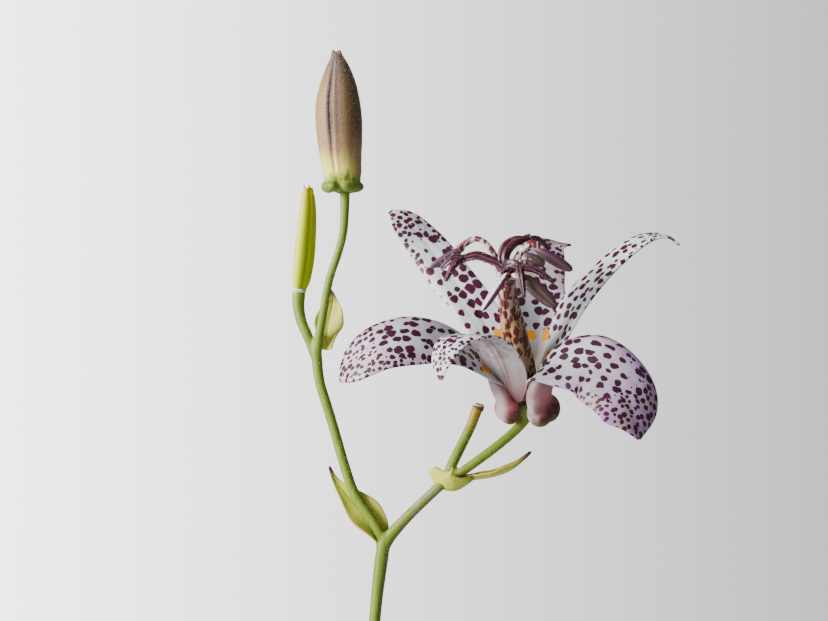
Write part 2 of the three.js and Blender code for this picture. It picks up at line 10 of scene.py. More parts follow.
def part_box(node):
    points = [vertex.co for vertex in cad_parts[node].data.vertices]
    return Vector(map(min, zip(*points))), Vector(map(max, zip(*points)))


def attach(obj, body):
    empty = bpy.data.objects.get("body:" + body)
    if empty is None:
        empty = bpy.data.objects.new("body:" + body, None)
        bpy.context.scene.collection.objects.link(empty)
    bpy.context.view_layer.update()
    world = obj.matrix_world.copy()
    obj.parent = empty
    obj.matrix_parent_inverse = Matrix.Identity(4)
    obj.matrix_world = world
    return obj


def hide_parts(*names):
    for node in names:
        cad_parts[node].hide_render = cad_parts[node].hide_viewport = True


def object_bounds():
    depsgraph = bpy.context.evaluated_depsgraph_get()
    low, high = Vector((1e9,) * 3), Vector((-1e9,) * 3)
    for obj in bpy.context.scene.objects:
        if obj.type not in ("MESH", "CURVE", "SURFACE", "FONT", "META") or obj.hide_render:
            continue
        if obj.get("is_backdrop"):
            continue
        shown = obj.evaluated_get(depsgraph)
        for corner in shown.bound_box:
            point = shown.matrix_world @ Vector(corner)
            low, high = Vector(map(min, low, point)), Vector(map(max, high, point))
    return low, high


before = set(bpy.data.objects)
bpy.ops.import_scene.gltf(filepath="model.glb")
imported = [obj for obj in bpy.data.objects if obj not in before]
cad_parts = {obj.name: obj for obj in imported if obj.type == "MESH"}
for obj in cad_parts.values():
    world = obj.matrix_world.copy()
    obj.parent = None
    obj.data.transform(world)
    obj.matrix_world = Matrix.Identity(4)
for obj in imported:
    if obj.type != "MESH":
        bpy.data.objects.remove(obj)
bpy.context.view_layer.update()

# Camera: level with the open flower and 28 cm in front of the stem, with a portrait lens.
MM = 0.001
EYE_MM = (7.54, -283.5, 245.02)

lens = bpy.data.cameras.new("camera")
lens.lens = 85
lens.sensor_width = 36
camera = bpy.data.objects.new("camera", lens)
camera.location = Vector(EYE_MM) * MM
camera.rotation_euler = (math.radians(90), 0, 0)
bpy.context.scene.collection.objects.link(camera)
bpy.context.scene.camera = camera


# Studio: a pale floor that fades into a grey surround, brighter toward the left, where one
# large soft lamp stands beside the flower. A weak lamp above and dim light all round fill in.
def colour(hex_value):
    """The linear colour that shaders take, from an sRGB hex value."""
    shares = [int(hex_value[k:k + 2], 16) / 255 for k in (1, 3, 5)]
    return (*[c / 12.92 if c <= 0.04045 else ((c + 0.055) / 1.055) ** 2.4 for c in shares], 1)


def add(tree, kind, *values, **named):
    """Adds a node. Values fill its sockets in order; a capital starts a socket's name, not a setting's.

    A value is a number, a hex colour, a socket, or a node, which stands for its first output.
    """
    made = tree.nodes.new("ShaderNode" + kind)
    sockets = dict(enumerate(values))
    for name, value in named.items():
        if name[0].isupper():
            sockets[name] = value
        else:
            setattr(made, name, value)
    for key, value in sockets.items():
        if isinstance(value, bpy.types.Node):
            value = value.outputs[0]
        if isinstance(value, bpy.types.NodeSocket):
            tree.links.new(value, made.inputs[key])
        else:
            made.inputs[key].default_value = colour(value) if isinstance(value, str) else value
    return made


def finish_named(name, roughness, **sockets):
    """A new material, the function that adds its nodes, and its shader with plain values set."""
    material = bpy.data.materials.new(name)
    material.use_nodes = True
    shader = material.node_tree.nodes["Principled BSDF"]
    shader.inputs["Roughness"].default_value = roughness
    for key, value in sockets.items():
        key = key.replace("_", " ")
        shader.inputs[key].default_value = colour(value) if isinstance(value, str) else value
    return material, partial(add, material.node_tree), shader


LAMPS = [
    ("key_lamp", (-770, -350, 500), 420, 29.0),
    ("top_lamp", (-160, -380, 900), 620, 1.0),
]
LIT_POINT_MM = (8, 0, 215)
for name, place, width, watts in LAMPS:
    lamp = bpy.data.lights.new(name, "AREA")
    lamp.size = width * MM
    lamp.energy = watts
    holder = bpy.data.objects.new(name, lamp)
    holder.location = Vector(place) * MM
    aim = Vector(LIT_POINT_MM) - Vector(place)
    holder.rotation_euler = aim.to_track_quat("-Z", "Y").to_euler()
    bpy.context.scene.collection.objects.link(holder)

surround = bpy.data.worlds.new("surround")
surround.use_nodes = True
node = partial(add, surround.node_tree)
direction = node("SeparateXYZ", node("TexCoord").outputs["Generated"])
# Toward the right the backdrop halves in brightness about every 11 degrees, for 15 degrees to
# either side of straight ahead.
FADING_REACH = 0.26
FADING = 0.0247
BACKDROP_LEVEL = 1.95
span = (-FADING_REACH, FADING_REACH)
side = node("MapRange", direction.outputs["X"], *span, *span)
fall_off = node("Math", FADING, side, operation="POWER")
brightness = node("Math", fall_off, BACKDROP_LEVEL, operation="MULTIPLY")
seen = node("Background", "#FFFFFF", brightness)
ambient = node("Background", "#E6E9EE", 0.25)
ray = node("LightPath").outputs["Is Camera Ray"]
both = node("MixShader", ray, ambient, seen)
world_output = surround.node_tree.nodes["World Output"]
surround.node_tree.links.new(both.outputs[0], world_output.inputs["Surface"])
bpy.context.scene.world = surround

FLOOR_RADIUS_MM = 900
bm = bmesh.new()
bmesh.ops.create_circle(bm, cap_ends=True, segments=96, radius=FLOOR_RADIUS_MM * MM)
mesh = bpy.data.meshes.new("floor")
bm.to_mesh(mesh)
bm.free()
floor = bpy.data.objects.new("floor", mesh)
bpy.context.scene.collection.objects.link(floor)
# Matte paper: pale in the middle, and it fades out before its edge.
material, node, shader = finish_named("matte paper", 0.9, Base_Color="#E2E2E2")
place = node("TexCoord").outputs["Object"]
far = node("VectorMath", place, operation="LENGTH").outputs["Value"]
fade = node("MapRange", far, 0.3, 0.85, 1, 0, interpolation_type="SMOOTHSTEP")
shader.id_data.links.new(fade.outputs[0], shader.inputs["Alpha"])
mesh.materials.append(material)
floor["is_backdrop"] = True


# Pot: a plain terracotta flower pot, thrown with a thick rolled rim and a drain hole, and
# fired without glaze. Lime from the water has left pale bloom on its wall.
def shaped(name, bm, *materials, place=None):
    """An object in metres from a shape in millimetres, moved to its place, with its finishes."""
    if place:
        bmesh.ops.transform(bm, matrix=place, verts=bm.verts)
    bmesh.ops.scale(bm, vec=(MM, MM, MM), verts=bm.verts)
    for face in bm.faces:
        face.smooth = True
    mesh = bpy.data.meshes.new(name)
    bm.to_mesh(mesh)
    bm.free()
    for material in materials:
        mesh.materials.append(material)
    piece = bpy.data.objects.new(name, mesh)
    bpy.context.scene.collection.objects.link(piece)
    return piece


def spaced(mm):
    """The scale of a pattern whose features lie some millimetres apart."""
    return 1 / (mm * MM)


def laid_over(node, under, over, level, *span, **how):
    """Lays one colour over another as a level runs through a span (from, to, least, most)."""
    share = node("MapRange", level, *span, **how)
    return node("MixRGB", share, under, over)


def dressed(node, shader, skin=None, height=None, strength=0, depth_mm=0):
    """Gives a shader its colour, a relief, or both."""
    links = shader.id_data.links
    if skin:
        links.new(skin.outputs[0], shader.inputs["Base Color"])
    if height:
        bump = node("Bump", strength, depth_mm * MM, Height=height)
        links.new(bump.outputs[0], shader.inputs["Normal"])


def turned_round(profile, steps, closed=True):
    """A bmesh that a profile of (radius, height), closed or open, sweeps round the Z axis."""
    bm = bmesh.new()
    corners = [bm.verts.new((radius, 0, height)) for radius, height in profile]
    following = corners[1:] + (corners[:1] if closed else [])
    edges = [bm.edges.new(pair) for pair in zip(corners, following)]
    bmesh.ops.spin(bm, geom=corners + edges, cent=(0, 0, 0), axis=(0, 0, 1), angle=math.tau,
                   steps=steps, use_merge=True)
    bmesh.ops.remove_doubles(bm, verts=bm.verts, dist=0.001)
    bmesh.ops.recalc_face_normals(bm, faces=bm.faces)
    return bm


_, pot_high = (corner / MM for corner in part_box("pot"))
POT_HEIGHT = pot_high.z
RIM_RADIUS = pot_high.x
RIM_HEIGHT = 20
NECK_RADIUS = RIM_RADIUS - 5.5
BASE_RADIUS = 37.5
WALL = 4.2
POT_FLOOR = 5
DRAIN_RADIUS = 6
neck = POT_HEIGHT - RIM_HEIGHT
slope = (NECK_RADIUS - BASE_RADIUS) / neck


def pot_inside(height):
    """Radius of the pot's hollow at a height."""
    return BASE_RADIUS + slope * height - WALL


mouth = pot_inside(POT_HEIGHT)
profile = [
    (DRAIN_RADIUS, 0), (20, 0), (BASE_RADIUS - 1.8, 0), (BASE_RADIUS - 0.5, 0.3),
    (BASE_RADIUS + slope, 1.4), *[(BASE_RADIUS + slope * z, z) for z in range(5, 72, 6)],
    (NECK_RADIUS - 0.5, neck - 1.2), (NECK_RADIUS + 0.2, neck), (RIM_RADIUS - 3.2, neck),
    (RIM_RADIUS - 1.9, neck + 0.5), (RIM_RADIUS - 1.4, neck + 1.8), (RIM_RADIUS - 1.1, neck + 7),
    (RIM_RADIUS - 0.5, neck + 13), (RIM_RADIUS - 0.1, POT_HEIGHT - 2.2),
    (RIM_RADIUS - 0.5, POT_HEIGHT - 0.7), (RIM_RADIUS - 1.8, POT_HEIGHT), (RIM_RADIUS - 4, POT_HEIGHT),
    (mouth + 1.6, POT_HEIGHT - 0.2), (mouth + 0.3, POT_HEIGHT - 1.2),
    *[(pot_inside(z), z) for z in (88, 80, 50, 20, 8)], (pot_inside(POT_FLOOR) - 2, POT_FLOOR),
    (20, POT_FLOOR), (DRAIN_RADIUS + 0.4, POT_FLOOR), (DRAIN_RADIUS, POT_FLOOR - 0.8),
    (DRAIN_RADIUS, 0.8),
]
bm = turned_round(profile, steps=128)
THROWING_LINE_MM = 3.1
for corner in bm.verts:
    radius = math.hypot(corner.co.x, corner.co.y)
    outer = radius > BASE_RADIUS - 0.4 + slope * min(corner.co.z, neck)
    if outer and 2 < corner.co.z < POT_HEIGHT - 3:
        ring = 0.06 * math.sin(math.tau * corner.co.z / THROWING_LINE_MM)
        uneven = 0.22 * noise.noise(corner.co * 0.045)
        inward = 1 - (0.2 + ring + uneven) / radius
        corner.co.x *= inward
        corner.co.y *= inward
# Fired clay: dry and open-grained, so matte, with iron specks, pale lime bloom and faint
# rings from the throwing. Its grain and specks are drawn coarser than real, so that they show.
material, node, shader = finish_named("unglazed terracotta", 0.88)
place = node("TexCoord").outputs["Object"]
cloud = node("TexNoise", place, Scale=spaced(35.7), Detail=5, Roughness=0.6)
clay = node("MixRGB", cloud, "#A8583A", "#C98058")
bloom_noise = node("TexNoise", place, Scale=spaced(18.2), Detail=8, Roughness=0.72)
limed = laid_over(node, clay, "#D9BFA8", bloom_noise, 0.52, 0.72, 0, 0.55, interpolation_type="SMOOTHSTEP")
speck_cell = node("TexVoronoi", place, Scale=spaced(1.111)).outputs["Distance"]
speckled = laid_over(node, limed, "#7E4630", speck_cell, 0.18, 0.1, 0, 0.5)
grain = node("TexNoise", place, Scale=spaced(0.714), Detail=3)
stretched = node("Mapping", place, Scale=(0.02, 0.02, 1))
rings = node("TexNoise", stretched, Scale=spaced(1.92), Detail=3)
height = node("MixRGB", 0.4, grain, rings)
dressed(node, shader, speckled, height, strength=0.5, depth_mm=0.6)
pot = shaped("terracotta_pot", bm, material)
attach(pot, "root")
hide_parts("pot")


# Soil: dark potting mix pressed in round the stem, a low mound of crumbs with a little
# bark and perlite on top.
soil_low, soil_high = (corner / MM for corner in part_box("soil"))
SOIL_EDGE_Z = 84
soil_radius = soil_high.x
mound = soil_high.z - SOIL_EDGE_Z
SOIL_RINGS = 46
rings_of_soil = [soil_radius * math.sqrt(k / SOIL_RINGS) for k in range(SOIL_RINGS, 0, -1)]
foot_radius = pot_inside(soil_low.z) - 0.5
line = [(0, soil_low.z), (foot_radius, soil_low.z), *[(r, SOIL_EDGE_Z) for r in rings_of_soil],
        (0, SOIL_EDGE_Z)]
bm = turned_round(line, steps=150, closed=False)


def soil_height(x, y):
    """Height of the crumbly surface: a low mound with clods and fine crumbs."""
    share = min(math.hypot(x, y) / soil_radius, 1)
    clods = 0.9 * noise.noise((x * 0.11, y * 0.11, 3.1))
    crumbs = 0.75 * noise.noise((x * 0.42, y * 0.42, 7.7)) + 0.35 * noise.noise((x * 1.1, y * 1.1, 1.3))
    return SOIL_EDGE_Z - 0.8 + mound * (1 - share ** 2) * 0.8 + (clods + crumbs) * (1 - share ** 8)


for corner in bm.verts:
    if corner.co.z > SOIL_EDGE_Z - 0.1:
        corner.co.z = soil_height(corner.co.x, corner.co.y)

dice = random.Random(4)


def scattered(bm, count, reach, smallest, largest, squash):
    """Lumps of random size and turn, half sunk in the soil within a reach of the stem."""
    for _ in range(count):
        angle, far = dice.uniform(0, math.tau), reach * math.sqrt(dice.uniform(0.004, 1))
        x, y = far * math.cos(angle), far * math.sin(angle)
        size = dice.uniform(smallest, largest)
        turn = Matrix.Rotation(dice.uniform(0, math.tau), 4, Vector((dice.random(), dice.random(), 0.3)))
        spread = Matrix.Diagonal((size, size * dice.uniform(0.6, 1), size * squash, 1))
        seat = Matrix.Translation((x, y, soil_height(x, y) + size * squash * 0.2))
        lump = bmesh.ops.create_icosphere(bm, subdivisions=1, radius=1, matrix=seat @ turn @ spread)
        for corner in lump["verts"]:
            corner.co += (corner.co - seat.translation) * 0.5 * noise.noise(corner.co * 0.9)
            corner.co.z = min(corner.co.z, soil_high.z + 0.6)


CRUMBS = 620
scattered(bm, CRUMBS, soil_radius - 2.5, smallest=0.35, largest=1.25, squash=0.8)
# Peat and bark crumbs: damp, so nearly black, matte, with a few rusty and tan bits.
material, node, shader = finish_named("potting mix", 0.95)
place = node("TexCoord").outputs["Object"]
crumb = node("TexVoronoi", place, Scale=spaced(1.613)).outputs["Color"]
tint = node("SeparateXYZ", crumb).outputs["X"]
peat = node("MixRGB", tint, "#1F1712", "#4A3626")
mixed = laid_over(node, peat, "#8A6238", tint, 0.9, 0.93, 0, 0.7)
rough = node("TexNoise", place, Scale=spaced(0.909), Detail=6, Roughness=0.7)
dressed(node, shader, mixed, rough, strength=0.9, depth_mm=0.8)
soil = shaped("soil_bed", bm, material)
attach(soil, "root")
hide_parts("soil")

bm = bmesh.new()
PERLITE_GRAINS = 46
scattered(bm, PERLITE_GRAINS, soil_radius - 4, smallest=0.5, largest=1.2, squash=0.85)
# Perlite: puffed volcanic glass, off-white and chalky.
perlite_finish, *_ = finish_named("perlite", 0.9, Base_Color="#CFC9BE")
perlite = shaped("perlite_grains", bm, perlite_finish)
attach(perlite, "root")
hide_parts("soil")


# Stem: one grown piece that rises from the soil and forks twice: left to a bud and a seed
# capsule, right to the bare stub of a fallen flower and to the open flower. Each node swells.
def along(rows, t):
    """Smooth curve through the rows of a table, whatever its columns hold."""
    last = len(rows) - 1
    span = min(max(t, 0), 1) * last
    i = min(int(span), last - 1)
    w = span - i
    start, end = rows[i], rows[i + 1]
    before = rows[i - 1] if i else [2 * a - b for a, b in zip(start, end)]
    after = rows[i + 2] if i + 1 < last else [2 * b - a for a, b in zip(start, end)]
    values = []
    for a, b, c, d in zip(before, start, end, after):
        leave, arrive = (c - a) / 2, (d - b) / 2
        cube, square = 2 * b - 2 * c + leave + arrive, 3 * c - 3 * b - 2 * leave - arrive
        values.append(((cube * w + square) * w + leave) * w + b)
    return values


def marked():
    """A bmesh whose points carry millimetres along and across, and the shares of both."""
    bm = bmesh.new()
    bm.verts.layers.float_vector.new("place")
    bm.verts.layers.float_vector.new("share")
    return bm


def mark_layers(bm):
    """The place and share layers of a marked bmesh."""
    return [bm.verts.layers.float_vector[name] for name in ("place", "share")]


def marks(node, name):
    """The three numbers that each point of a piece carries under a name."""
    carried = node("Attribute", attribute_name=name).outputs["Vector"]
    return node("SeparateXYZ", carried).outputs


def grown_together(piece, voxel_mm, rounds):
    """Joins the parts of a piece under one fine voxel skin, and evens it."""
    skin = piece.modifiers.new("grown_together", "REMESH")
    skin.mode = "VOXEL"
    skin.voxel_size = voxel_mm * MM
    skin.use_smooth_shade = True
    rounding = piece.modifiers.new("evened", "SMOOTH")
    rounding.iterations = rounds


def run_of(rows):
    """Length of the straight runs between the points of some rows."""
    return sum((Vector(b[:3]) - Vector(a[:3])).length for a, b in zip(rows, rows[1:]))


def even(t, angle):
    """A plain round section."""
    return 1


def rod(bm, rows, sides, steps, section=even, facing=(1, 0, 0)):
    """Adds a closed rod along rows of (x, y, z, radius) to a marked bmesh.

    The section scales the radius by the share along and the angle round from the facing
    line. The marks are (mm along, 0, 0) and (share along, cosine, sine of the angle).
    """
    frames = []
    normal, length, spot = Vector(facing), 0, Vector(rows[0][:3])
    for i in range(steps + 1):
        t = i / steps
        *point, radius = along(rows, t)
        tangent = Vector(along(rows, t + 0.5 / steps)[:3]) - Vector(along(rows, t - 0.5 / steps)[:3])
        tangent.normalize()
        normal = (normal - tangent * normal.dot(tangent)).normalized()
        length += (Vector(point) - spot).length
        spot = Vector(point)
        frames.append((spot, normal, tangent.cross(normal), radius, length))
    place, share = mark_layers(bm)
    grid = bmesh.ops.create_grid(bm, x_segments=steps + 2, y_segments=sides, size=0.5)["verts"]
    for corner in grid:
        row = round((corner.co.x + 0.5) * (steps + 2)) - 1
        angle = math.tau * (0.5 - corner.co.y)
        i = min(max(row, 0), steps)
        spot, normal, across, radius, length = frames[i]
        reach = max(radius, 0.02) * section(i / steps, angle) if i == row else 0
        corner.co = spot + (normal * math.cos(angle) + across * math.sin(angle)) * reach
        corner[place] = (length, 0, 0)
        corner[share] = (i / steps, math.cos(angle), math.sin(angle))
    bmesh.ops.remove_doubles(bm, verts=grid, dist=0.0005)


stem_low, _ = (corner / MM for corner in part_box("leafy_stem"))
MAIN_STEM = [
    (0, 0, stem_low.z, 1.3), (0, 0, 80, 1.3), (-0.5, 0.3, 105, 1.25), (0.5, -0.4, 132, 1.15),
    (-0.4, 0.3, 160, 1.05), (0.7, 0, 182, 0.94), (1.85, 0, 200, 0.86), (2.9, 0, 209.5, 1.0),
    (3.5, 0, 212.6, 0.8),
]
LEFT_BRANCH = [
    (3.0, 0, 209.5, 0.75), (2.2, 0.2, 213.3, 0.8), (-1.0, 0.9, 218.1, 0.78), (-2.6, 1.3, 222.5, 0.76),
    (-3.8, 1.8, 226.6, 0.75), (-5.05, 2.3, 230.7, 0.75), (-6.3, 2.7, 234.8, 0.76),
    (-6.75, 3.0, 238.9, 0.8), (-6.8, 3.0, 240.2, 0.6),
]
BUD_STALK = [
    (-6.6, 3.0, 237.0, 0.55), (-6.5, 2.8, 240.2, 0.7), (-6.0, 2.4, 243.1, 0.66), (-5.1, 1.9, 248.2, 0.62),
    (-4.45, 1.6, 250.7, 0.62), (-3.35, 1.2, 253.9, 0.62), (-2.65, 1.0, 257.2, 0.63),
    (-2.5, 1.0, 262.6, 0.76),
]
CAPSULE_STALK = [
    (-7.0, 3.2, 238.0, 0.55), (-7.8, 3.5, 240.6, 0.74), (-9.0, 4.0, 243.4, 0.8), (-9.45, 4.4, 245.6, 0.88),
    (-9.45, 4.6, 247.0, 0.98), (-9.42, 4.7, 247.85, 0.98),
]
RIGHT_BRANCH = [
    (2.8, 0, 209.8, 0.8), (4.0, 0, 212.2, 0.92), (7.0, 0, 215.5, 0.77), (11.3, 0, 219.6, 0.76),
    (12.9, 0.2, 221.0, 0.78), (13.6, 0.3, 221.5, 0.5),
]
STUB = [
    (12.2, 0.3, 220.2, 0.6), (12.95, 0.8, 222.35, 0.78), (14.4, 1.6, 225.2, 0.76),
    (15.85, 2.2, 228.1, 0.76), (16.75, 2.5, 230.45, 0.8), (17.0, 2.6, 231.05, 0.74),
]
FLOWER_STALK = [
    (12.0, 0.0, 219.9, 0.55), (14.6, 0.0, 221.7, 0.7), (19.3, 0.3, 225.1, 0.7), (22.4, 0.8, 227.7, 0.72),
    (23.8, 0.8, 229.5, 0.8), (23.7, 0.3, 231.1, 0.95), (23.64, 0.12, 231.64, 1.15),
]
STALKS = [MAIN_STEM, LEFT_BRANCH, BUD_STALK, CAPSULE_STALK, RIGHT_BRANCH, STUB, FLOWER_STALK]
LEAF_HEIGHTS = (100, 115, 130, 145, 158, 171, 182)
STEM_STEP_MM = 0.8


def swollen(t, angle):
    """Widens the main stem a little where a leaf clasps it."""
    z = along(MAIN_STEM, t)[2]
    return 1 + sum(0.16 * math.exp(-((z - height) / 1.4) ** 2) for height in LEAF_HEIGHTS)


bm = marked()
for rows in STALKS:
    steps = int(run_of(rows) / STEM_STEP_MM) + 6
    rod(bm, rows, sides=20, steps=steps, section=swollen if rows is MAIN_STEM else even)
# Green stem: waxy and downy, lit yellow-green over a darker, bluer green, with fine
# lengthwise streaks, and a purplish flush on the right branch.
material, node, shader = finish_named(
    "downy green stem", 0.48, Subsurface_Weight=0.12, Specular_IOR_Level=0.4,
    Subsurface_Radius=(0.0006, 0.0009, 0.0003))
place = node("TexCoord").outputs["Object"]
fine = node("Mapping", place, Scale=(1, 1, 0.12))
streak = node("TexNoise", fine, Scale=spaced(0.6667), Detail=3, Roughness=0.6)
green = node("MixRGB", streak, "#4C620A", "#86962A")
patch = node("TexNoise", place, Scale=spaced(7.69), Detail=2)
mottled = laid_over(node, green, "#48700E", patch, 0.45, 0.75, 0, 0.5)
axes = node("SeparateXYZ", place).outputs
# The flush lies in blotches on the right branch, between the two forks.
right = node("MapRange", axes["X"], 0.0035, 0.006)
below = node("MapRange", axes["Z"], 0.2215, 0.2185)
blush = node("TexNoise", place, Scale=spaced(2.381), Detail=3)
blotch = node("MapRange", blush, 0.45, 0.62, 0, 0.7)
here = node("Math", right, below, operation="MULTIPLY")
flush = node("Math", here, blotch, operation="MULTIPLY")
flushed = node("MixRGB", flush, mottled, "#8F7070")
# The stub turns brown toward its torn end.
near_stub = node("VectorMath", place, Vector(STUB[-1][:3]) * MM, operation="DISTANCE")
browned = laid_over(node, flushed, "#A07A0C", near_stub.outputs["Value"], 0.0052, 0.0008, 0, 0.8)
dressed(node, shader, browned, streak, strength=0.35, depth_mm=0.1)
stems = shaped("stem_and_branches", bm, material)
# The stalks grow out of each other, so a fine voxel skin joins them in one smooth body.
grown_together(stems, voxel_mm=0.21, rounds=5)
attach(stems, "root")
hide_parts("leafy_stem")

bm = marked()
STUB_END = [(16.82, 2.53, 230.45, 0.8), (16.95, 2.58, 230.85, 0.86), (17.03, 2.62, 231.2, 0.84),
            (17.06, 2.63, 231.35, 0.6)]
TORN_FROM = 0.7
TORN_DEPTH = 0.5
rod(bm, STUB_END, sides=28, steps=8)
_, share_layer = mark_layers(bm)
for corner in bm.verts:
    if corner[share_layer][0] > TORN_FROM:
        corner.co.z += TORN_DEPTH * noise.noise(corner.co * 1.7)
# Torn stem end: dry white fibres above a brown ring.
material, node, shader = finish_named("torn stem fibre", 0.8)
torn = laid_over(node, "#5C3818", "#C9BFB0", marks(node, "share")["X"], 0.35, 0.55)
dressed(node, shader, torn)
stub_end = shaped("torn_stub_end", bm, material)
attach(stub_end, "root")
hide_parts("leafy_stem")


# Leaves: soft downy blades that clasp the stem by turns, oval with a drawn-out tip, arched
# over, with parallel veins sunk in the upper face. The photo doesn't show them.
def blade(rows, steps, across, relief, slices=14):
    """A marked sheet that grows out along +X from its root at the origin, inner face up.

    Rows are (reach, rise, sway, half width, roll in degrees, camber), and the relief lifts
    the sheet along its face. Each tangent is taken over one slice of the sheet's length.
    """
    bm = marked()
    place, share = mark_layers(bm)
    frames = []
    length, spot = 0, Vector((rows[0][0], rows[0][2], rows[0][1]))
    for i in range(steps + 1):
        t = i / steps
        reach, rise, sway, half, roll, camber = along(rows, t)
        ahead, behind = along(rows, t + 0.5 / slices), along(rows, t - 0.5 / slices)
        tangent = Vector((ahead[0] - behind[0], ahead[2] - behind[2], ahead[1] - behind[1])).normalized()
        up = tangent.cross(Vector((0, 1, 0))).normalized()
        side = up.cross(tangent)
        turn = math.radians(roll)
        point = Vector((reach, sway, rise))
        length += (point - spot).length
        spot = point
        frames.append((point, side * math.cos(turn) + up * math.sin(turn),
                       up * math.cos(turn) - side * math.sin(turn), half, camber, length))
    for corner in bmesh.ops.create_grid(bm, x_segments=steps, y_segments=across, size=0.5)["verts"]:
        t, u = corner.co.x + 0.5, corner.co.y * 2
        point, edge, face, half, camber, length = frames[round(t * steps)]
        corner.co = point + edge * half * u + face * (camber * half * u * u + relief(t, u))
        corner[place] = (length, half * u, 0)
        corner[share] = (t, u, 0)
    return bm


def thickened(piece, thickness):
    """Gives a sheet its thickness in mm, with its second finish on its back."""
    wall = piece.modifiers.new("thickness", "SOLIDIFY")
    wall.thickness = thickness * MM
    wall.offset = 0
    wall.material_offset = 1
    wall.material_offset_rim = 0


def stem_at(height):
    """The middle of the main stem at a height."""
    below, above = 0, 1
    for _ in range(20):
        t = (below + above) / 2
        below, above = (t, above) if along(MAIN_STEM, t)[2] < height else (below, t)
    return Vector(along(MAIN_STEM, above)[:3])


def set_out(bm, azimuth, place):
    """Turns a shape round Z by an azimuth in degrees, and moves its root to a place."""
    turn = Matrix.Translation(place) @ Matrix.Rotation(math.radians(azimuth), 4, "Z")
    bmesh.ops.transform(bm, matrix=turn, verts=bm.verts)


def leaf_rows(length, width, arch, droop):
    """Rows of a leaf's blade, from its clasping root to its tip."""
    return [
        (-1.7, -0.2, 0, width * 0.13, 0, 0.9),
        (length * 0.05, length * 0.04, 0, width * 0.27, 0, 0.75),
        (length * 0.2, arch * 0.62, 0, width * 0.42, 3, 0.4),
        (length * 0.4, arch, 0.6, width * 0.5, 5, 0.22),
        (length * 0.6, arch * 0.92, 1.2, width * 0.44, 2, 0.16),
        (length * 0.78, arch * 0.5 - droop * 0.3, 1.2, width * 0.3, -4, 0.12),
        (length * 0.92, arch * 0.1 - droop * 0.72, 0.4, width * 0.12, -6, 0.08),
        (length, -droop, -0.6, 0.12, -6, 0),
    ]


# Azimuth, length, width, arch and droop of each leaf, from the lowest up.
LEAVES = [
    (196, 73.5, 27, 17, 12), (22, 76.5, 29, 18, 14), (236, 67, 27, 16, 12), (58, 66, 25, 15, 10),
    (168, 60, 22, 12, 10), (-16, 50, 18, 9, 8), (262, 38, 13, 6, 6),
]
VEINS_ACROSS = 9
LEAF_THICKNESS = 0.45


def veined_green(name, low, high, vein_colour, vein_share, roughness):
    """Leaf tissue: green with veins that run from root to tip and meet there."""
    material, node, shader = finish_named(
        name, roughness, Subsurface_Weight=0.1, Specular_IOR_Level=0.35,
        Subsurface_Radius=(0.0005, 0.0009, 0.0002))
    place = node("TexCoord").outputs["Object"]
    share = marks(node, "share")
    cloud = node("TexNoise", place, Scale=spaced(11.1), Detail=4)
    base = node("MixRGB", cloud, low, high)
    wave = node("Math", share["Y"], math.pi * VEINS_ACROSS, operation="MULTIPLY")
    crest = node("Math", wave, operation="COSINE")
    veined = laid_over(node, base, vein_colour, crest, 0.86, 1, 0, vein_share,
                       interpolation_type="SMOOTHSTEP")
    # Leaf cells are finer than this grain, which is drawn as coarse as it needs to show.
    fine = node("TexNoise", place, Scale=spaced(0.4545), Detail=2)
    dressed(node, shader, height=fine, strength=0.25, depth_mm=0.12)
    return material, node, shader, veined, share


# Upper face: fresh green, satin, with darker flecks between the veins.
leaf_top, node, shader, veined, _ = veined_green(
    "leaf upper face", "#4F7333", "#6F9148", "#93AE62", 0.7, 0.42)
place = node("TexCoord").outputs["Object"]
fleck_cell = node("TexVoronoi", place, Scale=spaced(4.35)).outputs["Distance"]
flecked = laid_over(node, veined, "#2F4A26", fleck_cell, 0.24, 0.12, 0, 0.5)
dressed(node, shader, flecked)
# Underside: paler and duller, with the veins standing out.
leaf_back, node, shader, veined, _ = veined_green(
    "leaf underside", "#7F9A5C", "#93AB6C", "#B7C68C", 0.8, 0.6)
dressed(node, shader, veined)

for k, (height, (azimuth, length, width, arch, droop)) in enumerate(zip(LEAF_HEIGHTS, LEAVES)):
    def leaf_relief(t, u):
        """Sunk veins, blistered tissue between them, and a rippled margin."""
        vein = -0.14 * max(math.cos(math.pi * VEINS_ACROSS * u), 0) ** 6
        keel = -0.3 * math.exp(-(u / 0.05) ** 2)
        ripple = 0.035 * width * math.sin(9 * t + 1.3 * u + height) * u * u
        blister = 0.25 * noise.noise((t * 14, u * 5, height))
        return (vein + keel + blister) * min(8 * t, 1) * min(6 * (1 - t), 1) + ripple
    bm = blade(leaf_rows(length, width, arch, droop), steps=84, across=54, relief=leaf_relief, slices=13)
    set_out(bm, azimuth, stem_at(height))
    leaf = shaped(f"leaf_{k + 1}", bm, leaf_top, leaf_back)
    thickened(leaf, LEAF_THICKNESS)
    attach(leaf, "root")
    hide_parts("leafy_stem")


# Bracts: four small clasping leaves at the forks. Each is yellow-green, boat-shaped, with a
# rusty margin and a dark, dried tip.
def rounded(piece):
    """Rounds a piece with one level of subdivision."""
    rounding = piece.modifiers.new("rounding", "SUBSURF")
    rounding.levels = rounding.render_levels = 1


bract_face, node, shader, veined, share = veined_green(
    "bract", "#AEB430", "#D2D25C", "#94A030", 0.4, 0.55)
rim_line = node("Math", share["Y"], operation="ABSOLUTE")
rusted = laid_over(node, veined, "#9A6428", rim_line, 0.84, 1, 0, 0.5)
tipped = laid_over(node, rusted, "#3C2220", share["X"], 0.74, 0.95)
dressed(node, shader, tipped)
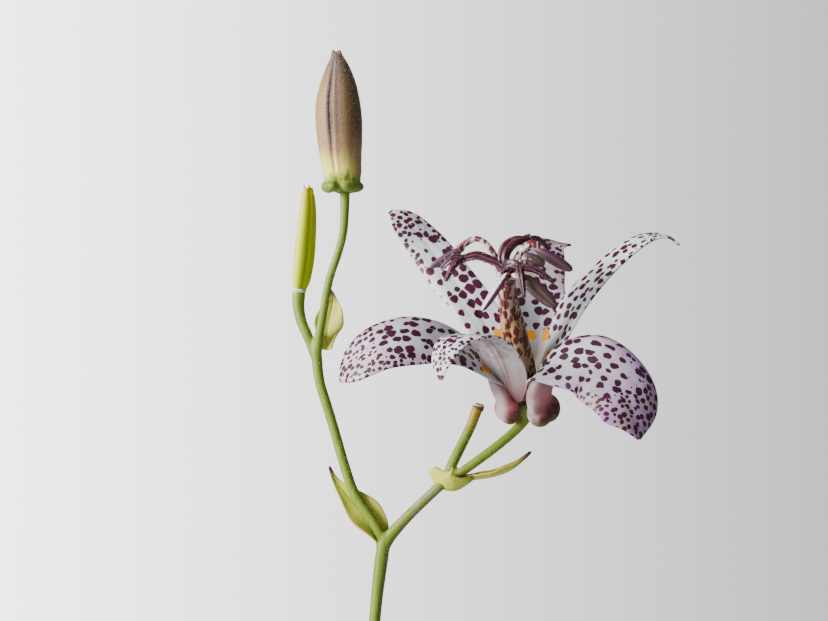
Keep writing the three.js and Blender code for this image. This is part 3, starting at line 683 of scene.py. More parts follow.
# Name, azimuth and root of each bract, and its rows as a blade's.
BRACTS = [
    ("bract_first_fork", 172, (2.4, 1.0, 211.3), [
        (-0.3, -0.4, 0, 0.9, -30, 0.7), (0.6, 2.0, 0.3, 2.0, -50, 0.5), (2.1, 4.2, 0.4, 2.55, -62, 0.3),
        (4.5, 6.7, 0.1, 1.5, -62, 0.3), (6.4, 8.9, 0, 0.5, -60, 0.2), (7.3, 11.0, 0, 0.1, -60, 0)]),
    ("bract_second_fork", 90, (-5.3, 3.0, 239.2), [
        (0.0, 0.0, 0, 0.7, 0, 0.6), (0.9, 1.9, -0.1, 1.4, 0, 0.5), (1.5, 3.8, -0.3, 2.2, 0, 0.3),
        (1.9, 5.7, -0.7, 1.7, 0, 0.25), (2.0, 7.3, -0.9, 0.7, 0, 0.2), (1.7, 8.9, -0.6, 0.1, 0, 0)]),
    ("bract_cup", 0, (9.5, 0.2, 219.6), [
        (0.1, 2.0, 0, 1.0, 0, 1.2), (1.7, 0.0, 0, 1.9, 0, 1.6), (3.8, -0.6, 0, 2.1, 0, 1.6),
        (5.8, 0.4, 0, 1.1, 0, 1.0), (7.4, 1.9, 0, 0.1, 0, 0)]),
    ("bract_narrow", 3, (13.9, 0.8, 220.3), [
        (0.0, 0.1, 0, 0.6, 0, 0.6), (2.6, 0.3, 0, 1.3, 0, 0.5), (5.2, 0.7, 0, 1.7, 0, 0.45),
        (8.0, 1.8, 0, 1.4, 0, 0.4), (10.7, 4.2, 0, 0.1, 0, 0)]),
]
BRACT_THICKNESS = 0.3
for k, (name, azimuth, root, rows) in enumerate(BRACTS):
    def bract_relief(t, u):
        """A shallow keel, low veins and an uneven margin."""
        keel = -0.12 * math.exp(-(u / 0.12) ** 2)
        vein = 0.03 * math.cos(math.pi * VEINS_ACROSS * u)
        return keel + vein + 0.25 * u * u * noise.noise((t * 6, u * 1.5, k + 0.5))
    bm = blade(rows, steps=32, across=20, relief=bract_relief, slices=9)
    set_out(bm, azimuth, root)
    bract = shaped(name, bm, bract_face)
    thickened(bract, BRACT_THICKNESS)
    rounded(bract)
    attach(bract, "root")
    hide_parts("leafy_stem")


# Down: fine, short, colourless hairs that stand out from the upper stems.
def hair(bm, root, way, length, width=0.024):
    """Adds one three-sided hair that stands on a root point and thins to nothing."""
    stand = way.to_track_quat("Z", "Y").to_matrix().to_4x4()
    seat = Matrix.Translation(root + way * length * 0.46) @ stand
    bmesh.ops.create_cone(bm, segments=3, radius1=width, radius2=0.004, depth=length, matrix=seat)


def random_way():
    """A random direction."""
    return Vector([dice.gauss(0, 1) for _ in range(3)]).normalized()


def way_off(rows, t, reach):
    """Where a hair or bead can stand on a rod: its middle, radius, a random way, and outwards."""
    *point, radius = along(rows, t)
    tangent = (Vector(along(rows, t + reach)[:3]) - Vector(along(rows, t - reach)[:3])).normalized()
    way = random_way()
    return Vector(point), radius, way, (way - tangent * way.dot(tangent)).normalized()


HAIRS_PER_MM = 10
bm = bmesh.new()
for rows in STALKS[1:] + [MAIN_STEM[5:]]:
    for _ in range(int(run_of(rows) * HAIRS_PER_MM)):
        t = dice.random()
        middle, radius, way, out = way_off(rows, t, reach=0.02)
        hair(bm, middle + out * radius * 0.92, (out + way * 0.25).normalized(), dice.uniform(0.18, 0.38))
# Hair: clear and thin, so it only lightens the edge of the stem.
down_finish, *_ = finish_named("plant down", 0.6, Alpha=0.55, Base_Color="#C4C6B4")
down = shaped("stem_down", bm, down_finish)
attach(down, "root")
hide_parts("leafy_stem")


# Bud: three outer petals closed edge over edge round the rest. Mauve-brown above, cream
# below, with a dark groove along each seam and a small lime-green pouch under each petal.
BUD_FOOT = Vector((-2.6, 1.0, 262.3))
BUD_SEAM_AZIMUTH = 17
BUD_LEAN = -0.05
BUD_BODY = [
    (0.05, 0, 0.0, 1.2), (0.0, 0, 0.9, 2.2), (-0.2, 0, 2.4, 2.72), (-0.45, 0, 4.6, 2.98),
    (-0.62, 0, 7.2, 3.25), (-0.78, 0, 10.2, 3.4), (-0.9, 0, 12.8, 3.26), (-0.88, 0, 15.4, 2.72),
    (-0.92, 0, 17.8, 1.86), (-1.02, 0, 19.3, 1.1), (-1.1, 0, 20.4, 0.45),
]


def bud_section(t, angle):
    """A groove beside each seam, a raised lip on it, and a low rib down each petal's back."""
    from_seam = (math.degrees(angle) - BUD_SEAM_AZIMUTH + 60) % 120 - 60
    groove = 0.13 * math.exp(-((from_seam + 7.5) / 5) ** 2)
    lip = 0.04 * math.exp(-((from_seam - 1) / 4) ** 2)
    rib = 0.02 * math.exp(-((abs(from_seam) - 60) / 6) ** 2)
    return 1 - groove + lip + rib


def moved(rows, step):
    """Rows of a rod with their points moved by a step."""
    return [(x + step.x, y + step.y, z + step.z, *rest) for x, y, z, *rest in rows]


bm = marked()
rod(bm, moved(BUD_BODY, BUD_FOOT), sides=96, steps=64, section=bud_section)
BUD_PETAL_AZIMUTHS = (-160, -40, 80)
BUD_SAC_MIDDLE = BUD_FOOT + Vector((-0.3, 0, 0.72))
BUD_SAC_REACH = 2
BUD_SAC_SIZE = (1.05, 2.2, 0.95)
BUD_TIP = BUD_FOOT + Vector((-1.07, 0, 19.2))
# How far out and up each petal's tip reaches, and its radius.
BUD_POINT = [(0.72, 0, 0.3), (0.62, 0.9, 0.3), (0.5, 1.55, 0.08)]
for azimuth in BUD_PETAL_AZIMUTHS:
    angle = math.radians(azimuth)
    out = Vector((math.cos(angle), math.sin(angle), 0))
    rows = [(*(BUD_TIP + out * reach + Vector((0, 0, rise))), radius) for reach, rise, radius in BUD_POINT]
    rod(bm, rows, sides=12, steps=6)
    seat = Matrix.Translation(BUD_SAC_MIDDLE + out * BUD_SAC_REACH) @ Matrix.Rotation(angle, 4, "Z")
    bmesh.ops.create_uvsphere(bm, u_segments=36, v_segments=18, radius=1,
                              matrix=seat @ Matrix.Diagonal((*BUD_SAC_SIZE, 1)))
# Downy bud skin: gold down the back of each petal, mauve-brown beside its edges, dark purple painted
# shade in the grooves and tan on the seams; browner on its right, partly from painted shade on the side
# away from the lamp, cream low down, lime pouches.
material, node, shader = finish_named(
    "downy bud skin", 0.6, Subsurface_Weight=0.1, Sheen_Weight=0.08,
    Subsurface_Radius=(0.0008, 0.0005, 0.0003), Sheen_Tint="#E9E0E4")
place = node("TexCoord").outputs["Object"]
from_foot = node("VectorMath", place, BUD_FOOT * MM, operation="SUBTRACT")
axes = node("SeparateXYZ", from_foot).outputs
aside = node("Math", axes["Z"], -BUD_LEAN, axes["X"], operation="MULTIPLY_ADD")
angle = node("Math", axes["Y"], aside, operation="ARCTAN2")
tripled = node("Math", angle, 3, -math.radians(3 * BUD_SEAM_AZIMUTH), operation="MULTIPLY_ADD")
seam = node("Math", tripled, operation="COSINE")
fine = node("Mapping", place, Scale=(1, 1, 0.14))
streak = node("TexNoise", fine, Scale=spaced(0.6667), Detail=4, Roughness=0.65)
uneven = node("Math", streak, 1.6, -0.8, operation="MULTIPLY_ADD")
seam_uneven = node("Math", seam, uneven, operation="ADD")
back = node("MapRange", seam_uneven, 0.9, -0.2)
gold = laid_over(node, "#846828", "#8E6E2E", aside, -0.0012, -0.003)
upper = node("MixRGB", back, "#80624C", gold)
# Toward its right the bud turns dark brown and its cream darkens: partly its own browner flank, partly
# painted shade on the side away from the lamp.
right_brown_and_shade = node("MapRange", aside, 0.0007, 0.0023, 0, 0.85)
right_browned_and_shaded = node("MixRGB", right_brown_and_shade, upper, "#44280E")
# A dark purple band in the groove beside each seam is painted shade in the crease.
GROOVE_SHIFT = math.radians(21)
beside = node("Math", tripled, GROOVE_SHIFT, operation="ADD")
groove = node("Math", beside, operation="COSINE")
groove_shaded = laid_over(node, right_browned_and_shaded, "#341824", groove, 0.55, 0.92, 0, 0.85)
on_seam = node("MapRange", seam, 0.975, 0.996, 0, 0.7)
seamed = node("MixRGB", on_seam, groove_shaded, "#A07E3C")
# Height above the foot, uneven by up to 2 mm from streak to streak.
height = node("Math", streak, 0.005, axes["Z"], operation="MULTIPLY_ADD")
top = node("MapRange", height, 0.0165, 0.022, 0, 0.75)
topped = node("MixRGB", top, seamed, "#4A3030")
cream_pale = node("MixRGB", on_seam, "#E2DA58", "#C4B00C")
cream = node("MixRGB", right_brown_and_shade, cream_pale, "#86602C")
warm = laid_over(node, cream, "#96704A", height, 0.0056, 0.0086)
coloured = laid_over(node, warm, topped, height, 0.0076, 0.0122, interpolation_type="SMOOTHSTEP")
fuzz = node("TexNoise", place, Scale=spaced(0.2632), Detail=2)
pale = node("MapRange", fuzz, 0.45, 0.75, 0, 0.36)
dusted = node("MixRGB", pale, coloured, "#A8958C")
foot = node("MapRange", height, 0.0055, 0.0038, interpolation_type="SMOOTHSTEP")
cloud = node("TexNoise", place, Scale=spaced(1.429), Detail=3)
lime = node("MixRGB", cloud, "#4A6404", "#76880C")
footed = node("MixRGB", foot, dusted, lime)
dressed(node, shader, footed, fuzz, strength=0.5, depth_mm=0.12)
bud = shaped("bud_petals_and_sacs", bm, material)
grown_together(bud, voxel_mm=0.12, rounds=8)
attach(bud, "root")
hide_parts("flower_bud")

bm = bmesh.new()
BUD_HAIRS = 1500
for _ in range(BUD_HAIRS):
    t, angle = dice.uniform(0.04, 0.97), dice.uniform(0, math.tau)
    *point, radius = along(BUD_BODY, t)
    out = Vector((math.cos(angle), math.sin(angle), 0))
    root = BUD_FOOT + Vector(point) + out * radius * bud_section(t, angle) * 0.98
    way = (out + random_way() * 0.3 + Vector((0, 0, 0.25))).normalized()
    hair(bm, root, way, dice.uniform(0.15, 0.32))
bud_down = shaped("bud_down", bm, down_finish)
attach(bud_down, "root")
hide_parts("flower_bud")


# Seed capsule: a young three-angled pod, smooth and lime green, with a blunt notched top. A
# pale scar ring at its foot shows where its flower's petals fell.
CAPSULE_FOOT = Vector((-9.3, 4.7, 248.2))
CAPSULE_BODY = [
    (-0.1, 0, 0.0, 0.95), (0.15, 0, 1.6, 1.33), (0.5, 0, 4.6, 1.5), (0.78, 0, 7.8, 1.45),
    (1.05, 0, 11.0, 1.26), (1.14, 0, 13.4, 1.0), (1.15, 0, 14.4, 0.76), (1.15, 0, 14.9, 0.76),
]


def capsule_section(t, angle):
    """Three rounded angles, a fine furrow down the middle of each side, and a notched top."""
    furrow = 0.05 * math.exp(-((math.degrees(angle) % 120 - 60) / 7) ** 2)
    notch = 0.1 * max(t - 0.9, 0) / 0.1 * math.cos(3 * angle)
    return 1 + 0.12 * math.cos(3 * angle) - furrow - notch


bm = marked()
rod(bm, moved(CAPSULE_BODY, CAPSULE_FOOT), sides=48, steps=48, section=capsule_section)
for azimuth in (60, 180, 300):
    angle = math.radians(azimuth)
    out = Vector((math.cos(angle), math.sin(angle), 0))
    horn = CAPSULE_FOOT + Vector((1.15, 0, 14.7)) + out * 0.45
    rod(bm, [(*horn, 0.24), (*(horn + out * 0.1 + Vector((0, 0, 0.6))), 0.08)], sides=10, steps=4)
# Capsule skin: fresh, waxy and even, yellow-green on its angles, deeper green between them,
# with an orange-brown tinge and a dry rim at the top.
material, node, shader = finish_named(
    "capsule skin", 0.5, Subsurface_Weight=0.1, Specular_IOR_Level=0.3,
    Subsurface_Radius=(0.0006, 0.001, 0.0002))
place = node("TexCoord").outputs["Object"]
share = marks(node, "share")
angle = node("Math", share["Z"], share["Y"], operation="ARCTAN2")
tripled = node("Math", angle, 3, operation="MULTIPLY")
crest = node("Math", tripled, operation="COSINE")
green = laid_over(node, "#98AE00", "#C4C606", crest, -1, 1)
tinged = laid_over(node, green, "#BE9C00", share["X"], 0.45, 0.9, 0, 0.5)
dried = laid_over(node, tinged, "#8C8A3C", share["X"], 0.975, 1, 0, 0.8)
dressed(node, shader, dried)
capsule = shaped("capsule", bm, material)
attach(capsule, "root")
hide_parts("seed_capsule")

bm = marked()
SCAR = [(-9.42, 4.7, 247.65, 0.96), (-9.42, 4.7, 247.85, 1.07), (-9.42, 4.7, 248.1, 1.03),
        (-9.42, 4.7, 248.2, 0.9)]


def scar_section(t, angle):
    """A slightly lumpy round."""
    return 1 + 0.03 * math.sin(5 * angle) + 0.02 * math.sin(11 * angle)


rod(bm, SCAR, sides=32, steps=8, section=scar_section)
# Healed scar: corky and pale.
scar_finish, *_ = finish_named("scar tissue", 0.7, Base_Color="#C6C898")
scar = shaped("petal_scar", bm, scar_finish)
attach(scar, "root")
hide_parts("leafy_stem")


# Open flower: its frame leans left and tilts toward the viewer. Three broad outer petals
# spread or hang and three narrow inner ones arch up; all are thin, waxy and spotted.
FLOWER_TILT = math.radians(18)
FLOWER_LEAN = math.radians(-6)
flower_place = (Matrix.Translation((23.6, 0, 232)) @ Matrix.Rotation(FLOWER_TILT, 4, "X")
                @ Matrix.Rotation(FLOWER_LEAN, 4, "Y"))


def spotted(node, size, swell=1):
    """Nodes for scattered spots of mixed size: how much spot, its halo, and a random share.

    The place mark counts in spot spacings, the size scales those, and the swell the spots.
    """
    place = node("Attribute", attribute_name="place").outputs["Vector"]
    wobble = node("TexNoise", place, Scale=1.4 / size, Detail=1).outputs["Color"]
    shift = node("VectorMath", wobble, (0.5, 0.5, 0.5), operation="SUBTRACT")
    scaled = node("VectorMath", shift, Scale=0.5 * size, operation="SCALE")
    bent = node("VectorMath", place, scaled, operation="ADD")
    long = node("Mapping", bent, Scale=(0.8 / size, 1 / size, 1))
    cell = node("TexVoronoi", long, Scale=1, Randomness=0.66, voronoi_dimensions="2D")
    chance = node("SeparateXYZ", cell.outputs["Color"])
    radius = node("MapRange", chance.outputs["X"], 0, 1, 0.24, 0.44)
    swollen_by = node("Math", radius, swell, operation="MULTIPLY")
    inside = node("Math", swollen_by, cell.outputs["Distance"], operation="SUBTRACT")
    spot = node("MapRange", inside, -0.01, 0.025)
    halo = node("MapRange", inside, -0.1, 0.0)
    return spot, halo, chance.outputs["Y"]


# Inner face: cool waxy white, greyed by painted shade on the outer petals, plum spots, lilac and tan
# towards the tip and lilac along the margin, partly painted shade there, two yellow marks on the throat,
# which darkens below them partly by painted shade, and a brown mucro.
petal_face, node, shader = finish_named(
    "spotted petal face", 0.46, Subsurface_Weight=0.15, Specular_IOR_Level=0.35,
    Subsurface_Radius=(0.0005, 0.0004, 0.0005))
place = node("Attribute", attribute_name="place").outputs["Vector"]
# The third number of the place says how far the petal turns lilac and tan, and how far painted shade greys
# its white.
outer = node("SeparateXYZ", place).outputs["Z"]
share = marks(node, "share")
t_share, u_share, past_mark = share["X"], share["Y"], share["Z"]
edge = node("Math", u_share, operation="ABSOLUTE")
cloud = node("TexNoise", place, Scale=0.7, Detail=3)
pure_white = node("MixRGB", cloud, "#BFC3C8", "#DADCDE")
# Painted shade greys the white of the outer petals, most on the right one.
shade_greyed_white = laid_over(node, pure_white, "#A09EA2", outer, 0, 1, 0, 0.4)
out_share = node("Math", cloud, 0.3, t_share, operation="MULTIPLY_ADD")
brink = node("Math", edge, 4, operation="POWER")
outward = node("Math", brink, 0.24, out_share, operation="MULTIPLY_ADD")
# Lilac deepens toward the margin: partly the petal's own lilac edge, partly painted shade on the margin,
# which curls back.
near_rim = node("Math", brink, 0.5, out_share, operation="MULTIPLY_ADD")
lilac_level = node("MapRange", near_rim, 0.6, 1.15, 0, 1.0)
lilac = node("Math", lilac_level, outer, operation="MULTIPLY")
tinted = node("MixRGB", lilac, shade_greyed_white, "#A17AA6")
tan_patch = node("TexNoise", place, Scale=0.45, Detail=1)
tan_level = node("MapRange", tan_patch, 0.42, 0.56, 0, 0.6)
tan_here = node("MapRange", out_share, 0.66, 0.86)
tan_outer = node("Math", tan_here, outer, operation="MULTIPLY")
tan_share = node("Math", tan_level, tan_outer, operation="MULTIPLY")
tanned = node("MixRGB", tan_share, tinted, "#AC9068")
# Below the yellow marks the throat turns taupe: partly its own colour, partly painted shade deep in the
# flower's base.
throat_taupe_and_shade = laid_over(node, tanned, "#A58E7E", past_mark, -0.5, -3.5, 0, 0.85)
# Large spots shrink away toward the tip and the margin, where small ones take their place.
TIP_SPOT_SIZE = 0.58
large = node("MapRange", outward, 1.02, 0.88, -0.2)
small = node("MapRange", outward, 0.82, 0.96, -0.2, 1.08)
spot, halo, chance = spotted(node, 1, large)
tip_spot, tip_halo, _ = spotted(node, TIP_SPOT_SIZE, small)
any_spot = node("Math", spot, tip_spot, operation="MAXIMUM")
any_halo = node("Math", halo, tip_halo, operation="MAXIMUM")
ragged = node("TexNoise", place, Scale=2.4, Detail=2)
past = node("Math", ragged, 1.4, past_mark, operation="MULTIPLY_ADD")
begun = node("MapRange", past, 1.6, 1.75)
spot_on = node("Math", any_spot, begun, operation="MULTIPLY")
halo_on = node("Math", any_halo, begun, operation="MULTIPLY")
haloed = laid_over(node, throat_taupe_and_shade, "#B391B4", halo_on, 0, 1, 0, 0.3)
plum = node("MixRGB", chance, "#36051A", "#4A0C2E")
deep = laid_over(node, plum, "#260010", outer, 0, 1, 0, 0.7)
magenta = node("MixRGB", lilac, deep, "#3C0E30")
dotted = node("MixRGB", spot_on, haloed, magenta)
off_mark = node("Math", past, 0.7, operation="SUBTRACT")
off_line = node("Math", off_mark, operation="ABSOLUTE")
band = node("MapRange", off_line, 1.0, 0.9)
wavy_edge = node("Math", ragged, 0.4, edge, operation="MULTIPLY_ADD")
off_middle = node("MapRange", wavy_edge, 0.3, 0.35)
off_rim = node("MapRange", wavy_edge, 0.96, 0.9)
flanks = node("Math", off_middle, off_rim, operation="MULTIPLY")
mark = node("Math", band, flanks, operation="MULTIPLY")
marked_yellow = node("MixRGB", mark, dotted, "#F2A000")
ended = laid_over(node, marked_yellow, "#6A4A3A", t_share, 0.975, 0.99)
fine = node("Mapping", place, Scale=(0.5, 4.4, 1))
cells = node("TexNoise", fine, Scale=3, Detail=3)
dressed(node, shader, ended, cells, strength=0.3, depth_mm=0.08)

# Outer face: greyish white, warmer in patches, with fine mauve veins, a dull pink midrib, a
# blush toward the foot, and the spots of the other face showing through.
petal_back, node, shader = finish_named(
    "veined petal back", 0.5, Subsurface_Weight=0.15, Specular_IOR_Level=0.35,
    Subsurface_Radius=(0.0005, 0.0004, 0.0005))
place = node("Attribute", attribute_name="place").outputs["Vector"]
share = marks(node, "share")
t_share, u_share, past_mark = share["X"], share["Y"], share["Z"]
cloud = node("TexNoise", place, Scale=0.7, Detail=3)
grey = laid_over(node, "#B0AEB6", "#B3A39C", cloud, 0.35, 0.65)
drift = node("Math", cloud, 0.25, u_share, operation="MULTIPLY_ADD")
waves = node("Math", drift, 5 * math.pi, operation="MULTIPLY")
crest = node("Math", waves, operation="COSINE")
veined = laid_over(node, grey, "#937986", crest, 0.8, 1, 0, 0.5)
spot = spotted(node, 1)[0]
begun = node("MapRange", past_mark, -1, 2.5, 0, 0.45)
through = node("Math", spot, begun, operation="MULTIPLY")
shown = node("MixRGB", through, veined, "#6E4E68")
ragged = node("TexNoise", place, Scale=2.4, Detail=2)
wavy = node("Math", ragged, 0.2, u_share, operation="MULTIPLY_ADD")
middle = node("Math", wavy, 0.1, operation="SUBTRACT")
off_middle = node("Math", middle, operation="ABSOLUTE")
# Two pink lines run beside the midrib and meet at the foot.
parted = node("Math", t_share, -0.3, off_middle, operation="MULTIPLY_ADD")
off_rib = node("Math", parted, operation="ABSOLUTE")
ribbed = laid_over(node, shown, "#8E5A60", off_rib, 0.1, 0.02, 0, 0.7)
low = node("MapRange", past_mark, -1.5, -6.5, 0, 0.8)
blushed = node("MixRGB", low, ribbed, "#A87672")
ended = laid_over(node, blushed, "#6A4A3A", t_share, 0.975, 0.99)
dressed(node, shader, ended)

# Name, azimuth, sac size, how lilac it turns and how far painted shade greys its white, how far the margin
# curls back, how many mm up the yellow marks lie, mm between spots, and the rows of each petal's blade.
PETALS = [
    ("outer_petal_right", -38, 1.04, 1.0, 0.16, -3.0, 1.48, [
        (2.5, 3.7, -0.6, 1.5, 8, 0.3), (3.0, 4.4, -0.7, 2.2, 12, 0.35), (4.1, 5.7, -0.7, 3.0, 22, 0.2),
        (6.7, 6.8, -0.4, 4.0, 34, 0.1), (11.4, 6.9, 0.9, 5.1, 36, 0), (15.9, 4.0, 1.1, 5.1, 30, 0),
        (18.6, 0.3, 0.3, 4.2, 18, 0), (19.6, -2.7, -0.7, 0.2, 10, 0)]),
    ("outer_petal_left", -160, 0.9, 0.45, 0.16, 6.2, 1.38, [
        (2.3, 1.5, -0.6, 0.9, 0, 0.3), (3.2, 2.8, -0.5, 1.3, -8, 0.3), (5.0, 5.7, -0.2, 2.6, -22, 0.2),
        (9.6, 10.4, 0.6, 3.4, -34, 0.1), (15.3, 13.3, 0.7, 4.3, -36, 0), (21.0, 13.3, 0.4, 4.1, -28, 0),
        (25.3, 10.7, -0.6, 3.1, -16, 0), (26.8, 8.5, -1.6, 0.3, -10, 0)]),
    ("outer_petal_back", 78, 0.96, 0.8, 0.1, 9.8, 1.8, [
        (1.5, 0.4, 0, 1.5, 0, 0.3), (3.0, 2.2, -0.5, 2.3, 0, 0.3), (5.6, 4.8, -1.3, 3.3, 0, 0.25),
        (10.8, 8.2, -1.4, 4.2, 0, 0.2), (16.6, 11.6, -0.3, 4.2, 0, 0.1), (21.6, 14.6, -0.5, 3.8, 10, 0.1),
        (25.0, 15.8, -2.0, 2.4, 20, 0), (26.8, 15.2, -4.4, 0.2, 20, 0)]),
    ("inner_petal_front", -112, None, 0, 0.1, 7.5, 1.15, [
        (1.6, 0.3, -0.5, 0.6, 0, 0.3), (2.4, 2.2, -0.9, 2.2, 0, 0.3), (3.7, 5.6, -1.1, 3.0, 0, 0.25),
        (6.0, 10.1, -1.5, 3.0, 0, 0.1), (9.6, 13.3, -2.6, 2.8, 0, 0), (14.0, 14.1, -4.4, 2.2, 0, 0),
        (16.8, 12.1, -5.2, 1.5, 0, 0), (17.6, 9.6, -5.2, 0.2, 0, 0)]),
    ("inner_petal_right", 26, None, 0, 0.12, 5.8, 1.35, [
        (1.7, 0.5, -0.2, 1.1, 0, 0.3), (3.2, 3.4, -0.7, 1.4, 0, 0.3), (5.6, 7.3, -0.9, 1.9, 0, 0.2),
        (10.0, 12.5, 0.8, 3.2, 0, 0.1), (16.6, 16.7, 1.8, 2.9, 0, 0), (22.2, 19.1, 1.4, 2.15, 0, 0),
        (25.4, 19.4, -0.2, 1.0, 0, 0), (27.0, 17.9, -1.6, 0.15, 0, 0)]),
    ("inner_petal_left", 134, None, 0, 0.12, 8.9, 1.6, [
        (1.6, 0.5, 0, 1.2, 0, 0.3), (2.7, 3.6, 0.2, 1.9, -8, 0.3), (4.8, 8.0, 0, 2.8, -20, 0.2),
        (9.0, 13.2, -0.2, 3.1, -26, 0.1), (13.4, 17.0, -0.4, 3.2, -26, 0), (18.4, 21.0, -0.9, 2.9, -24, 0),
        (22.8, 24.2, -1.0, 2.2, -20, 0), (25.5, 25.2, -0.8, 0.3, -20, 0)]),
]
# Each petal reads its own stretch of the spot pattern, this many spacings from the last one's.
PETAL_MARK_STEP = 20
PETAL_THICKNESS = 0.32
for k, (name, azimuth, _, lilac_and_shade_share, curl, mark_mm, spacing, rows) in enumerate(PETALS):
    def petal_relief(t, u):
        """A crease down the middle, low ribs, a margin that curls back, and slight waves."""
        half = along(rows, t)[3]
        crease = -0.1 * math.exp(-(u / 0.08) ** 2) * min((1 - t) * 5, 1)
        ribs = 0.012 * math.cos(7 * math.pi * u)
        wave = 0.35 * noise.noise((t * 5, u * 1.2, 3.7 * k)) * (0.4 + u * u)
        return crease + ribs + wave * min(4 * t, 1) * min(6 * (1 - t), 1) - curl * half * u ** 4
    bm = blade(rows, steps=72, across=26, relief=petal_relief)
    place_layer, share_layer = mark_layers(bm)
    for corner in bm.verts:
        mm_along, mm_across, _ = corner[place_layer]
        corner[share_layer] = (*corner[share_layer][:2], mm_along - mark_mm)
        corner[place_layer] = (mm_along / spacing + PETAL_MARK_STEP * k, mm_across / spacing, lilac_and_shade_share)
    set_out(bm, azimuth, Vector())
    petal = shaped(name, bm, petal_face, petal_back, place=flower_place)
    thickened(petal, PETAL_THICKNESS)
    rounded(petal)
    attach(petal, "root")
    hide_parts("flower_petals")

# Nectar sacs: behind its foot each outer petal bulges into a flat neck and a sac with two lobes, pink
# above, maroon-brown toward the lower right, where it is ripest and painted shade darkens it, with a pale
# patch low on its left that is waxy bloom and a painted highlight.
sac_finish, node, shader = finish_named(
    "nectar sac skin", 0.48, Subsurface_Weight=0.06, Specular_IOR_Level=0.35,
    Subsurface_Radius=(0.0008, 0.0004, 0.0003))
place = node("TexCoord").outputs["Object"]
axes = node("SeparateXYZ", place).outputs
cloud = node("TexNoise", place, Scale=spaced(2.381), Detail=4, Roughness=0.6)
# Share from left to right across each sac, as both stand side by side.
on_left = node("MapRange", axes["X"], 0.0186, 0.0248)
on_right = node("MapRange", axes["X"], 0.0233, 0.0289)
which = node("Math", axes["X"], 0.02325, operation="GREATER_THAN")
right_share = node("MixRGB", which, on_left, on_right)
# Brown deepens toward each sac's lower right: partly the ripe maroon, partly painted shade on the side
# away from the lamp.
sunk = node("MapRange", axes["Z"], 0.2355, 0.2285)
tilted = node("Math", right_share, 0.65, sunk, operation="MULTIPLY_ADD")
level = node("Math", cloud, 0.4, tilted, operation="MULTIPLY_ADD")
pink = laid_over(node, "#958280", "#B26670", level, 0.5, 0.95)
brown_and_shade = laid_over(node, pink, "#4C2214", level, 1.0, 1.4, interpolation_type="SMOOTHSTEP")
# A pale patch low on each sac's left is waxy bloom and a painted highlight.
bloom_noise = node("TexNoise", place, Scale=spaced(2.632), Detail=2)
bloom_and_highlight_level = node("MapRange", bloom_noise, 0.4, 0.55)
left_side = node("MapRange", right_share, 0.42, 0.22, 0, 0.8)
low_side = node("MapRange", sunk, 0.25, 0.45)
here = node("Math", left_side, low_side, operation="MULTIPLY")
bloom_and_highlight = node("Math", here, bloom_and_highlight_level, operation="MULTIPLY")
bloom_and_highlight_laid = node("MixRGB", bloom_and_highlight, brown_and_shade, "#C2B4BA")
foot = node("MapRange", axes["Z"], 0.2292, 0.2284, 0, 0.5)
footed = node("MixRGB", foot, bloom_and_highlight_laid, "#8A6A3A")
speck_cell = node("TexVoronoi", place, Scale=spaced(0.6667)).outputs["Distance"]
specked = laid_over(node, footed, "#C9B9BC", speck_cell, 0.14, 0.08, 0, 0.4)
pimples = node("TexNoise", place, Scale=spaced(0.5556), Detail=2)
dressed(node, shader, specked, pimples, strength=0.3, depth_mm=0.1)
SAC_NECKS = {
    "outer_petal_right": [(3.1, -0.5, -1.2, 1.7), (3.3, -1.0, 0.4, 2.4), (3.5, -1.2, 2.0, 2.7),
                          (4.1, -1.2, 3.4, 2.6), (4.6, -1.0, 4.4, 2.0)],
    "outer_petal_left": [(3.1, 0, -1.2, 1.6), (3.45, 0, 0.4, 2.1), (4.05, 0, 2.0, 2.2),
                         (4.7, 0.1, 3.6, 1.9), (5.4, 0.2, 4.8, 1.2)],
    "outer_petal_back": [(3.1, 0, -1.2, 1.6), (3.3, 0, 0.4, 2.1), (3.7, 0, 1.9, 2.1), (4.3, 0, 3.4, 1.6)],
}
LOBE_HALF_SIZES = (1.8, 1.85, 2.1)


def neck_section(t, angle):
    """Half as thick toward the facing line as across it."""
    return 1 / math.hypot(2 * math.cos(angle), math.sin(angle))


for name, azimuth, size, *_ in PETALS:
    if not size:
        continue
    bm = marked()
    rows = [[value * size for value in row] for row in SAC_NECKS[name]]
    rod(bm, rows, sides=40, steps=24, section=neck_section)
    spread = Matrix.Diagonal((*[half * size for half in LOBE_HALF_SIZES], 1))
    for middle in ((3.1, -0.95, -1.0), (3.1, 0.95, -1.0)):
        seat = Matrix.Translation(Vector(middle) * size) @ spread
        bmesh.ops.create_uvsphere(bm, u_segments=32, v_segments=24, radius=1, matrix=seat)
    set_out(bm, azimuth, Vector())
    sac = shaped(name.replace("petal", "sac"), bm, sac_finish, place=flower_place)
    grown_together(sac, voxel_mm=0.17, rounds=14)
    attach(sac, "root")
    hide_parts("flower_petals")


# Pistil: an ovary and a slim style, and at its top three arms that each fork in two. The
# arms are maroon, ridged, and set with beads and hairs.
COLUMN_HEIGHT = 24
COLUMN_BEND = [(0,), (0,), (-0.5,), (-0.95,), (-1.05,), (-1.05,)]


def bent(rows):
    """Moves a rod's points along X with the bend of the column."""
    return [(x + along(COLUMN_BEND, z / COLUMN_HEIGHT)[0], y, z, *rest) for x, y, z, *rest in rows]


STYLE = [(0, 0, 1.6, 0.7), (0, 0, 4.5, 0.85), (0, 0, 10.0, 0.7), (0, 0, 15.0, 0.42), (0, 0, 19.5, 0.42),
         (0, 0, 20.5, 0.5)]
PRONG_RADIUS = 0.5
